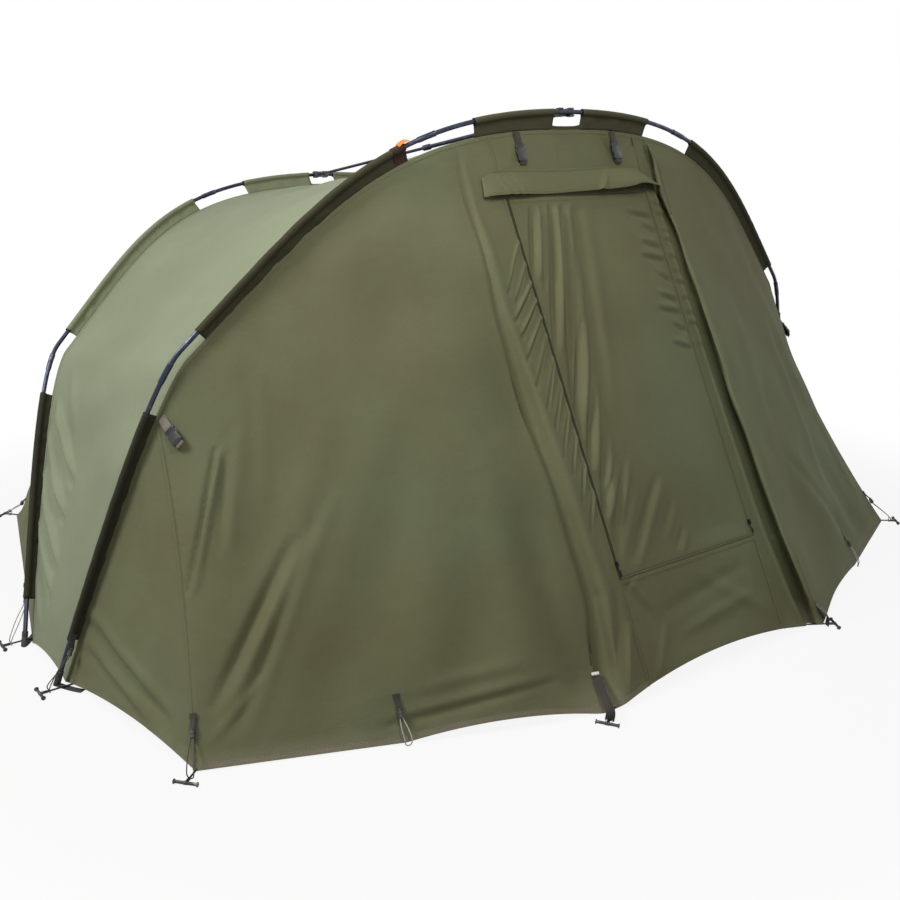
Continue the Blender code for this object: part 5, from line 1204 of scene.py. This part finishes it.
for side, flip in SIDES.items():
    top = FRONT.seam(-FRONT.share_at(across=CROWN_STRAP_X))[0] * flip
    up = unit(top - on_door(top[0], DOOR_HEAD))
    out = np.array([0, -up[2], up[1]])
    strap(f"crown_strap_{side}", top - up * STRAP_DROP + out * STRAP_STAND, up, out, dark_webbing)
    # The low straps hang as their solids do, from their joints
    joint = JOINTS[f"low_strap_{side}_lift"]
    place, level = np.array(joint["pos_m"]), unit(np.array(joint["axis"]))
    solid = frame["nodes"][f"low_strap_{side}"].data
    spots = np.empty(len(solid.vertices) * 3)
    solid.vertices.foreach_get("co", spots)
    hanging = unit(spots.reshape(-1, 3).mean(0) - place)
    up = -unit(hanging - level * (hanging @ level))
    tape = pale_webbing if side == "left" else dark_webbing
    strap(f"low_strap_{side}", place, up, np.cross(up, level), tape)


# A zip slider's plates, post and pull as rounded rectangles, and its bridge's line, all above its base
SLIDER_BASE = 0.0028
SLIDER_PLATE = [(height, wide, 0.0009, 0.0006) for height, wide in (
    (-0.0090, 0.0026), (-0.0078, 0.0040), (-0.0030, 0.0046),
    (0.0040, 0.0046), (0.0078, 0.0040), (0.0090, 0.0028))]
SLIDER_POST = ((-0.0074, 0.0020, 0.0016, 0.0008), (0.0074, 0.0026, 0.0016, 0.0008))
SLIDER_PULL = (
    (0.0005, 0.0016, 0.0005, 0.0004), (-0.0030, 0.0030, 0.0007, 0.0005), (-0.0090, 0.0024, 0.0006, 0.0005),
    (-0.0180, 0.0030, 0.0008, 0.0006), (-0.0310, 0.0030, 0.0008, 0.0006), (-0.0340, 0.0014, 0.0005, 0.0004))
SLIDER_BRIDGE = ((0, 0.0050, 0.0062), (0, 0.0074, 0.0046), (0, 0.0078, 0.0), (0, 0.0070, -0.0040),
                 (0, 0.0050, -0.0056))


def slider(word, side):
    """A zip slider: two shield-shaped plates joined by a post, a bridge over them and a tapered pull."""
    stand = on_door(side * ZIP_HALF_SPACING, SLIDER_START, SLIDER_BASE), DOOR_SLOPE, DOOR_OUT
    shapes = [upright_rings(SLIDER_PLATE, 0.0009), upright_rings(SLIDER_PLATE, 0.0045),
              upright_rings(SLIDER_POST, 0.0027), upright_rings(SLIDER_PULL, 0.0064)]
    shapes += [raised_rib(height, (0.0022, 0.0003, 0.0002), (0.0024, 0.0006, 0.0003), 0.0072)
               for height in (-0.021, -0.024, -0.027)]
    parts = [rings_mesh("slider", placed(rings, *stand)) for rings in shapes]
    parts.insert(3, sweep("slider", placed(smooth_line(SLIDER_BRIDGE, 4), *stand), 0.0008, 8, X))
    piece(f"zip_slider_{word}_body", joined("slider", [dressed(part, slider_metal) for part in parts]), None,
          f"slider_{word}", [f"zip_slider_{word}"])


slider("left", -1)
slider("right", 1)


# The zip: a woven tape in the gap and its coil, both painted dark on the left run as painted shade


def zip_tape(name, stops, material, nodes):
    """A zip tape through its stops, each (side, height, mitre); returns the line that its coil lies on."""
    half, chain, flat, crest = ZIP_WIDTH / 2, 0.0025, 0.0009, 0.0020
    profile = ((-half, -flat), (half, -flat), (half, flat), (chain, flat), (chain * 0.7, crest),
               (-chain * 0.7, crest), (-chain, flat), (-half, flat))
    rings = [[on_door(turn * (offset - ZIP_HALF_SPACING), up + mitre * offset, out)
              for offset, out in profile] for turn, up, mitre in stops]
    piece(name, rings_mesh(name, rings), material, "tent", nodes)
    return np.array([on_door(-turn * ZIP_HALF_SPACING, up, crest - 0.0002) for turn, up, _ in stops])


zip_foot = DOOR_FOOT - ZIP_WIDTH / 2
heights = np.linspace(DOOR_HEAD - 0.001, zip_foot, 40)
left_stops = [(1, up, float(up == zip_foot)) for up in heights]
right_stops = [(1, zip_foot, 1.0)] + [(-1, up, float(up == zip_foot)) for up in heights[::-1]]
tooth_lines = [zip_tape("zip_tape_left", left_stops, zip_cloth, ["door_zip"]),
               zip_tape("zip_tape_right", right_stops, olive_zip_cloth, ())]


# Stitches and zip teeth: small beads spaced along lines by Geometry Nodes


def bead_tree():
    """Beads along edges, spaced by a pitch, lying along the line and flat to the direction `out`."""
    tree = bpy.data.node_groups.new("beads_along_lines", "GeometryNodeTree")
    sockets = (("Geometry", "Geometry"), ("Pitch", "Float"), ("Length", "Float"), ("Width", "Float"),
               ("Height", "Float"), ("Finish", "Material"))
    for socket, kind in sockets:
        tree.interface.new_socket(socket, in_out="INPUT", socket_type=f"NodeSocket{kind}")
    tree.interface.new_socket("Geometry", in_out="OUTPUT", socket_type="NodeSocketGeometry")
    given = add(tree, "NodeGroupInput").outputs
    curves = add(tree, "GeometryNodeMeshToCurve", {"Mesh": given["Geometry"]}).outputs["Curve"]
    spots = add(tree, "GeometryNodeCurveToPoints", {"Curve": curves, "Length": given["Pitch"]},
                mode="LENGTH").outputs
    out = add(tree, "GeometryNodeInputNamedAttribute", {"Name": "out"},
              data_type="FLOAT_VECTOR").outputs["Attribute"]
    along = add(tree, "FunctionNodeAlignRotationToVector", {"Vector": spots["Tangent"]},
                axis="X").outputs["Rotation"]
    turned = add(tree, "FunctionNodeAlignRotationToVector", {"Rotation": along, "Vector": out}, axis="Z",
                 pivot_axis="X").outputs["Rotation"]
    sizes = {"X": given["Length"], "Y": given["Width"], "Z": given["Height"]}
    size = add(tree, "ShaderNodeCombineXYZ", sizes).outputs[0]
    bead = add(tree, "GeometryNodeMeshIcoSphere", {"Radius": 0.5, "Subdivisions": 1}).outputs["Mesh"]
    beads = add(tree, "GeometryNodeInstanceOnPoints",
                {"Points": spots["Points"], "Instance": bead, "Rotation": turned, "Scale": size}).outputs[0]
    whole = add(tree, "GeometryNodeRealizeInstances", {"Geometry": beads}).outputs[0]
    coloured = add(tree, "GeometryNodeSetMaterial", {"Geometry": whole, "Material": given["Finish"]})
    add(tree, "NodeGroupOutput", {"Geometry": coloured.outputs[0]})
    return tree


BEADS = bead_tree()


def beads_along(name, lines, material, body, slot, **sizes):
    """One baked mesh of beads along lines, each given as points and the directions out of the cloth there."""
    points, edges, outs = [], [], []
    for line, out in lines:
        edges += [(len(points) + place, len(points) + place + 1) for place in range(len(line) - 1)]
        points += list(line)
        outs += list(out)
    mesh = bpy.data.meshes.new(name)
    mesh.from_pydata(np.array(points).tolist(), edges, [])
    layer = mesh.attributes.new("out", "FLOAT_VECTOR", "POINT")
    layer.data.foreach_set("vector", np.array(outs, np.float32).reshape(-1))
    made = linked(name, mesh)
    step = made.modifiers.new("Beads", "NODES")
    step.node_group = BEADS
    sockets = {item.name: item.identifier for item in BEADS.interface.items_tree if item.in_out == "INPUT"}
    for key, value in {**sizes, "Finish": material}.items():
        step[sockets[key]] = value
    bpy.context.view_layer.update()
    made.data = bpy.data.meshes.new_from_object(made.evaluated_get(bpy.context.evaluated_depsgraph_get()))
    made.modifiers.clear()
    bpy.data.meshes.remove(mesh)
    made.data.shade_smooth()
    made.data.name = name
    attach(made, body)


# The coil's turns lie 1.7 mm apart, each across the zip; the left coil's dark colour is painted shade
for side, line, coil in zip(SIDES, tooth_lines, (zip_teeth, olive_zip_teeth)):
    beads_along(f"zip_coil_{side}", [(line, np.tile(DOOR_OUT, (len(line), 1)))], coil, "tent", "zip_coil",
                Pitch=0.0017, Length=0.0010, Width=0.0044, Height=0.0012)


# The ridge bar: a tube from the front rib's clip, a thinner tube sliding in it, and a claw at each rib

front_crown, rear_crown = FRONT.at(0)[0][0], REAR.at(0)[0][0]
SPAN = float(np.linalg.norm(rear_crown - front_crown))
TO_REAR = unit(rear_crown - front_crown)
BAR_UP = np.cross(X, TO_REAR)
BAR_UP = BAR_UP * np.sign(BAR_UP[2])


def claw(name, crown, toward):
    """Two claws round a rib's crown, a neck between them and a collar that the bar is plugged into."""
    depth, high, neck, notch = SADDLE_DEPTH, SADDLE_HEIGHT / 2, SADDLE_NECK / 2, SADDLE_NOTCH
    seat = notch + SADDLE_SEAT
    # Outlines as (distance from the rib's axis, height), round the notch that the rib lies in
    upper = [(depth, neck), (seat + 0.004, high), (seat, high + 0.0006), (0.0015, high + 0.0006), (0, high)]
    turns = np.linspace(math.pi / 2, -math.pi / 2, 13)
    outline = [(depth, -neck), *upper, *((notch * math.cos(turn), notch * math.sin(turn)) for turn in turns),
               *((far, -up) for far, up in upper[:0:-1])]
    core = [(depth, -neck), (depth, neck), (seat + 0.004, high - 0.001), (0.0105, high - 0.001),
            (0.0105, -high + 0.001), (seat + 0.004, -high + 0.001)]

    def slices(shape, stations):
        shape, middle = np.array(shape), np.array([0.013, 0])
        rings = []
        for far, scale in stations:
            flat = mix(middle, shape, scale)
            rings.append(crown + X * far + toward * flat[:, :1] + BAR_UP * flat[:, 1:])
        return dressed(rings_mesh(name, rings), buckle_plastic)

    half, gap = SADDLE_WIDTH / 2, SADDLE_THROAT / 2
    parts = [slices(core, ((-gap - 0.001, 0.98), (gap + 0.001, 0.98)))]
    for side in (-1, 1):
        stations = ((gap, 0.93), (gap + 0.001, 1), (half - 0.0012, 1), (half, 0.93))
        parts.append(slices(outline, [(side * far, scale) for far, scale in stations]))
    collar = [(depth + far, radius) for far, radius in ((-0.008, 0.0070), (-0.006, 0.0092), (0.006, 0.0092),
                                                        (0.0075, 0.0086), (0.0140, 0.0084), (0.0150, 0.0074))]
    parts.append(lathed(name, crown, toward, BAR_UP, X, collar, 24, buckle_plastic))
    return joined(name, parts)


def bar_tube(name, stops):
    """A tube along the ridge bar: (distance from the front crown, radius)."""
    return lathed(name, front_crown, TO_REAR, BAR_UP, X, stops, 24, pole_metal)


clip = claw("front_clip", front_crown, TO_REAR)
piece("front_clip", clip, None, "tent", ["ridge_clip_front"])
middle = SPAN / 2
collar = middle - COLLAR_LENGTH
outer = [(SADDLE_DEPTH + 0.0003, BAR_RADIUS), (collar, BAR_RADIUS), (collar + 0.0012, COLLAR_RADIUS)]
for groove in (0.010, 0.016, 0.022):
    for offset, sunk in ((-0.001, 0), (-0.0004, 0.0007), (0.0004, 0.0007), (0.001, 0)):
        outer.append((collar + groove + offset, COLLAR_RADIUS - sunk))
outer += [(middle - 0.0012, COLLAR_RADIUS), (middle, BAR_RADIUS)]
piece("ridge_tube", bar_tube("ridge_tube", outer), None, "tent", ["ridge_bar_outer"])
inner = bar_tube("ridge_inner", [(middle - 0.02, BAR_INNER_RADIUS), (SPAN - 0.022, BAR_INNER_RADIUS)])
piece("ridge_inner_tube", joined("ridge_inner", [inner, claw("ridge_inner", rear_crown, -TO_REAR)]), None,
      "ridge_slide", ["ridge_bar_inner"])


# Pegs, loops and tabs on the left, and mirrored on the right

# Outlines of round pieces, as (distance along the piece, radius)
BAR_END = [(far - PEG_BAR_LENGTH / 2, radius) for far, radius in (
    (-0.0004, 0.0035), (0, 0.0059), (0.0018, 0.0065), (0.0026, 0.0058), (0.004, 0.0040))]
PEG_BAR = [*BAR_END, (-0.007, 0.0040), (-0.0045, 0.0048), (0.0045, 0.0048), (0.007, 0.0040),
           *((-far, radius) for far, radius in BAR_END[::-1])]
PEG_ROD = [
    (0, 0.0040), (0.008, 0.0042), (0.0085, 0.0040), (0.020, 0.0040), (0.0225, PEG_ROD_RADIUS),
    (0.1, PEG_ROD_RADIUS), (0.188, PEG_ROD_RADIUS), (0.196, 0.0015), (PEG_LENGTH, 0.0006)]
TOGGLE = [
    (-0.001, 0.0030), (0, 0.0040), (0.0045, 0.0040), (0.005, 0.0058), (0.0062, 0.0065), (0.009, 0.0065),
    (0.0096, 0.0060), (0.0126, 0.0060), (0.0132, 0.0065), (0.0198, 0.0065), (0.0210, 0.0052),
    (0.0214, 0.0040)]
EYELET = [(-0.0019, 0.0046), (-0.0024, 0.0056), (-0.0019, 0.0058), (0.0019, 0.0058), (0.0024, 0.0056),
          (0.0019, 0.0046)]
TOGGLE_TOP = [(-0.011, 0.0030), (-0.0105, 0.0046), (-0.004, 0.0050), (0.004, 0.0050), (0.0105, 0.0046),
              (0.011, 0.0030)]


def outward_of(before, spot, after):
    """The level direction out of the tent at a pegging point between two others."""
    run = unit(spot - before) + unit(after - spot)
    out = unit(np.cross(run, Z))
    return out if out @ (spot - INSIDE * (1, 1, 0)) > 0 else -out


def line_at_height(line, height):
    """Point and downward direction on a line of points running down, at a height above the ground."""
    place = int(np.argmax(line[:, 2] < height))
    upper, lower = line[place - 1], line[place]
    part = (upper[2] - height) / (upper[2] - lower[2])
    return mix(upper, lower, part), unit(line[min(place + 3, len(line) - 1)] - upper)


def peg(name, head, aim):
    """A T-peg lying on the ground: a drawn rod, a cross bar with flanged ends, and a weld where they meet."""
    along, cross = -aim, np.cross(Z, -aim)
    parts = [lathed(name, head, cross, along, Z, PEG_BAR, 18, peg_metal),
             lathed(name, head, along, cross, Z, PEG_ROD, 16, peg_metal)]
    piece(name + "_steel", joined(name, parts), None, name, [name])


def loop(name, anchor, down, out, rest, outward, cover):
    """A pegging loop: folded webbing tab, moulded toggle, and elastic cord down to the peg."""
    out = unit(out - down * (out @ down))
    side = np.cross(down, out)
    start, end = anchor + out * 0.0017, anchor + down * TAB_LENGTH + out * TOGGLE_STAND
    run = unit(end - start)
    halfway = (start + end) / 2 - out * 0.0006
    fold = smooth_line([start - down * 0.010, start, halfway, end, end + run * 0.004], 5)
    sewn = anchor + out * 0.0008
    patch = smooth_line([sewn - down * 0.014, sewn - down * 0.006, sewn], 4)
    parts = [dressed(ribbon(name, fold, out, 0.016, 0.0017), dark_webbing),
             dressed(ribbon(name, patch, out, 0.020, 0.0016), dark_webbing)]
    square = ((-0.012, -0.007), (-0.012, 0.007), (-0.002, 0.007), (-0.002, -0.007), (-0.012, -0.007))
    stitched = np.array([sewn + down * low + side * wide + out * 0.0012 for low, wide in square])
    stitch_lines["tent"].append((stitched, np.tile(out, (5, 1))))
    parts.append(lathed(name, end, down, side, out, TOGGLE, 18, grip_plastic))
    mouth = end + down * (BUTTON_LENGTH + TOGGLE_LENGTH)
    inside = mouth - down * (TOGGLE_LENGTH / 2)
    lateral = np.cross(Z, outward)
    lateral = lateral * np.sign(lateral @ side)
    floor = rest * (1, 1, 0)
    shoulder = floor + Z * (PEG_AXIS_HEIGHT + LOOP_SHOULDER)
    spread_out = (mouth + shoulder) / 2 + outward * CORD_RADIUS
    strands = [[inside + side * sign * 0.0032, mouth + side * sign * 0.0032,
                spread_out + (side + lateral) / 2 * sign * LOOP_SPREAD * 0.9,
                shoulder + lateral * sign * LOOP_SPREAD,
                floor + Z * PEG_AXIS_HEIGHT + lateral * sign * LOOP_SPREAD * 0.8] for sign in (-1, 1)]
    line = smooth_line([*strands[0], floor + Z * 0.002, *strands[1][::-1]], 7)
    parts.append(dressed(sweep(name, line, CORD_RADIUS, 10, outward), cover))
    piece(name + "_cord", joined(name, parts), None, "tent", [name])


def corner_tab(word, anchor, down, out, rest, outward):
    """Webbing sewn over the door section's corner, down to an eyelet on the peg."""
    name = f"corner_tab_{word}"
    foot, eye = (np.array([rest[0], rest[1], height]) for height in (0.0010, PEG_AXIS_HEIGHT))
    knee, lateral = foot + Z * CORNER_TAB_KNEE, np.cross(Z, outward)
    line = smooth_line([anchor - down * 0.006, anchor, (anchor + knee) / 2 + outward * 0.001, knee, foot], 8)
    outs = unit(mix(out, outward, np.linspace(0, 1, len(line))[:, None]))
    parts = [dressed(ribbon(name, line, outs, CORNER_TAB_WIDTH, 0.0024), dark_webbing),
             lathed(name, eye, outward, lateral, Z, EYELET, 20, peg_metal)]
    if word == "left":
        # The toggle's pale end stands on top of this tab, and a pale ring lies at its foot
        top = anchor - down * 0.001 + out * 0.005
        parts.append(lathed(name, top, np.cross(down, out), down, out, TOGGLE_TOP, 16, pale_plastic))
        turns = np.linspace(0, math.tau, 41)[:-1, None]
        ring = eye + outward * (0.008 + 0.009 * np.cos(turns)) + lateral * 0.009 * np.sin(turns) - Z * 0.0035
        tangent = unit(np.roll(ring, -1, axis=0) - np.roll(ring, 1, axis=0))
        rings = circles(ring, np.cross(tangent, Z), Z, 0.0012, 8)
        parts.append(dressed(rings_mesh(name, np.concatenate([rings, rings[:1]])), pale_plastic))
    piece(name, joined(name, parts), None, "tent", ())


front_corner, door_corner, rear_corner = map(on_ground, (FRONT_CORNER, DOOR_CORNER, REAR_CORNER))
front_foot, rear_foot = (rib.at(-1)[0][0] * (1, 1, 0) for rib in (FRONT, REAR))
turn = math.radians(DOOR_PEG_TURN_DEG)
PEGGED = {
    "front_corner": (front_corner, outward_of(front_foot, front_corner, door_corner)),
    "door_corner": (door_corner, np.array([-math.sin(turn), -math.cos(turn), 0])),
    "rear_corner": (rear_corner, outward_of(rear_foot, rear_corner, rear_corner * MIRROR)),
    "front_foot": (front_foot - Y * PEG_FOOT_SIDE_STEP, -X),
    "rear_foot": (rear_foot + Y * PEG_FOOT_SIDE_STEP, -X),
}
HELD = {place: (spot + outward * PEG_SET, outward) for place, (spot, outward) in PEGGED.items()}
middle_out = np.cross(unit(door_corner - front_corner), Z)
middle_spot = mix(front_corner, door_corner, MIDDLE_LOOP_SHARE) + middle_out * LOOP_TAIL_REACH
HELD["front_middle"] = (middle_spot, middle_out)
MIDDLE_COLUMN = round(MIDDLE_LOOP_SHARE * (WIDE_COLUMNS - 1))
PALE_CORDS = ("front_middle_left", "rear_foot_left", "rear_corner_left", "front_corner_right",
              "front_middle_right")
# Webbing on the ground from each rib's boot to the hem, and how far it dips at shares of its run
FOOT_STRAPS = {"front": (front_foot, np.array([0.045, -0.080, 0])),
               "rear": (rear_foot, np.array([0.06, 0.075, 0]))}
FOOT_STRAP_DIPS = ((0, 0), (0.35, 0.0015), (0.7, 0.0018), (1, 0))
for side, flip in SIDES.items():
    for place, (spot, outward) in PEGGED.items():
        head = spot + outward * (PEG_SET + PEG_HEAD_REACH) + Z * PEG_AXIS_HEIGHT
        peg(f"peg_{place}_{side}", head * flip, outward * flip)
    # Where each loop is sewn on: its point, the way down and the way out, on the left
    front_grid, sewn = fronts[side], {}
    for place, grid, column in (("front_corner", front_grid, 0), ("rear_corner", rear, REAR_WING_COLUMNS - 1),
                                ("front_middle", front_grid, MIDDLE_COLUMN)):
        sewn[place] = (*line_at_height(grid[:, column], LOOP_HEIGHT), HELD[place][1])
    row = int(np.argmax(front_grid[:, MIDDLE_COLUMN, 2] < LOOP_HEIGHT))
    sewn["front_middle"] = (*sewn["front_middle"][:2], normals_of(front_grid)[row, MIDDLE_COLUMN])
    for place, rib, way in (("front_foot", FRONT, -1), ("rear_foot", REAR, 1)):
        point, along, _, cross = rib.at_one(-rib.share_at(height=FOOT_LOOP_HEIGHT))
        out = cross * np.sign(cross[1] * way)
        sewn[place] = (point + out * SLEEVE_RADIUS, -along * np.sign(along[2]), out)
    for place, spots in sewn.items():
        cover = pale_cord_cover if f"{place}_{side}" in PALE_CORDS else cord_cover
        loop(f"loop_{place}_{side}", *(value * flip for value in (*spots, *HELD[place])), cover)
    spot, down = line_at_height(front_grid[:, WIDE_COLUMNS - 1], CORNER_TAB_HEIGHT)
    rest, outward = HELD["door_corner"]
    tab = (spot + outward * 0.002, down, unit(DOOR_OUT + outward), rest, outward)
    corner_tab(side, *(value * flip for value in tab))
    for word, (foot, reach) in FOOT_STRAPS.items():
        start = foot + Z * 0.0035
        line = [start + reach * part - Z * dip for part, dip in FOOT_STRAP_DIPS]
        name = f"foot_strap_{word}_{side}"
        strip = ribbon(name, smooth_line(line, 6) * flip, Z, 0.020, 0.0022)
        piece(name, strip, dark_webbing, "tent", ())

# A brown band and an orange pull on the left side sleeve's upper end
band = []
for share in np.linspace(-SIDE_SLEEVE[0] - 0.042 / HALF_LENGTH, -SIDE_SLEEVE[0] - 0.001 / HALF_LENGTH, 12):
    ring, _, normal, _ = sleeve_ring(FRONT, share)
    away = ring - ring.mean(0)
    band.append(ring + unit(away - normal * (away @ normal)[:, None] * 0.5) * 0.0022)
piece("side_sleeve_band", rings_mesh("side_sleeve_band", band), brown_cloth, "tent", ())
point, along, normal, _ = FRONT.at_one(-SIDE_SLEEVE[0] - 0.010 / HALF_LENGTH)
pull_stops = ((0.0105, -0.010), (0.0135, 0), (0.0150, 0.014), (0.0125, 0.024))
line = smooth_line([point - normal * out + along * far for out, far in pull_stops], 5)
piece("sleeve_pull", ribbon("sleeve_pull", line, -normal, 0.020, 0.0016), orange_tape, "tent", ())

# Real stitches are 0.3 mm thick; these are drawn 1.3 mm wide so that they show, and closer on the straps
for body, lines in stitch_lines.items():
    if lines:
        pitch, length = (0.009, 0.006) if body in ("tent", "door", "hood") else (0.0035, 0.0026)
        beads_along(f"stitches_{body}", lines, stitch_thread, body, "front_cloth", Pitch=pitch, Length=length,
                    Width=0.0013, Height=0.0009)


# Camera, light and floor

CAMERA_PLACE, CAMERA_YAW, CAMERA_PITCH, CAMERA_ROLL = (-2.302, -2.770, 1.484), 0.648, -0.295, 0.005
CAMERA_SENSOR, CAMERA_LENS, FLOOR_REACH = 36, 43.95, 40
right = np.array([math.cos(CAMERA_YAW), -math.sin(CAMERA_YAW), 0])
ahead = np.array([*(np.cross(Z, right) * math.cos(CAMERA_PITCH))[:2], math.sin(CAMERA_PITCH)])
tilted = right * math.cos(CAMERA_ROLL) + np.cross(right, ahead) * math.sin(CAMERA_ROLL)
camera = linked("camera", bpy.data.cameras.new("camera"))
stance = Matrix([tilted, np.cross(tilted, ahead), -ahead]).transposed().to_4x4()
stance.translation = Vector(CAMERA_PLACE) - Vector((0, MIDDLE_Y, 0))
camera.matrix_world = stance
camera.data.sensor_width = CAMERA_SENSOR
camera.data.lens = CAMERA_LENS
bpy.context.scene.camera = camera


def straight_rays(tree):
    """One where a ray comes straight from the camera or through a clear or shiny surface."""
    rays = add(tree, "ShaderNodeLightPath").outputs
    seen = maths(tree, "MAXIMUM", rays["Is Camera Ray"], rays["Is Glossy Ray"])
    return maths(tree, "MAXIMUM", seen, rays["Is Transmission Ray"])


floor_mesh = bpy.data.meshes.new("floor")
floor_corners = [(x * FLOOR_REACH, y * FLOOR_REACH, 0) for x, y in ((-1, -1), (1, -1), (1, 1), (-1, 1))]
floor_mesh.from_pydata(floor_corners, [], [(0, 1, 2, 3)])
floor = linked("floor", floor_mesh)
# Matt studio paint, seen as white: it takes the tent's shadow near it and is plain white further off
floor_paint, tree, shader = finish("pale_floor_paint", Base_Color=linear("#adada9"), Roughness=0.9,
                                   Specular_IOR_Level=0.1)
direct = straight_rays(tree)
far = add(tree, "ShaderNodeVectorMath", {0: object_place(tree)}, operation="LENGTH").outputs["Value"]
whiteness = spread(tree, far, 1.7, 2.7, 0.9, 1, interpolation_type="SMOOTHSTEP")
white = add(tree, "ShaderNodeEmission", {"Color": (1, 1, 1, 1), "Strength": 1.0})
mixed = add(tree, "ShaderNodeMixShader", {0: maths(tree, "MULTIPLY", direct, whiteness), 1: shader.outputs[0],
                                          2: white.outputs[0]})
plug(tree, tree.nodes["Material Output"], {"Surface": mixed.outputs[0]})
floor_mesh.materials.append(floor_paint)

# A soft grey-blue sky lights the tent, and is seen as plain white
world = bpy.data.worlds.new("studio")
bpy.context.scene.world = world
world.use_nodes = True
tree = world.node_tree
sky = plug(tree, tree.nodes["Background"], {"Color": linear("#eef1f4"), "Strength": 0.18})
plain = add(tree, "ShaderNodeBackground", {"Color": (1, 1, 1, 1), "Strength": 1.0})
mixed = add(tree, "ShaderNodeMixShader", {0: straight_rays(tree), 1: sky.outputs[0], 2: plain.outputs[0]})
plug(tree, tree.nodes["World Output"], {"Surface": mixed.outputs[0]})

# Square lamps: name, place, the point it looks at, size and power
for name, place, aim, size, power in (("sky_above_left", (-3.9, 0.4, 4.2), (-0.4, 0.0, 0.6), 1.4, 215),
                                      ("sky_above_front", (-1.0, -1.8, 2.85), (0.1, -0.7, 1.1), 0.9, 42),
                                      ("soft_front", (0.5, -6.0, 3.4), (0, -0.5, 0.6), 4.0, 9),
                                      ("soft_right", (5.0, -2.5, 3.0), (0.5, -0.3, 0.6), 3.5, 44)):
    light = bpy.data.lights.new(name, "AREA")
    light.size, light.energy = size, power
    lamp = linked(name, light)
    lamp.location = place
    lamp.rotation_euler = (Vector(aim) - Vector(place)).to_track_quat("-Z", "Y").to_euler()
bpy.context.scene.view_settings.view_transform = "Standard"
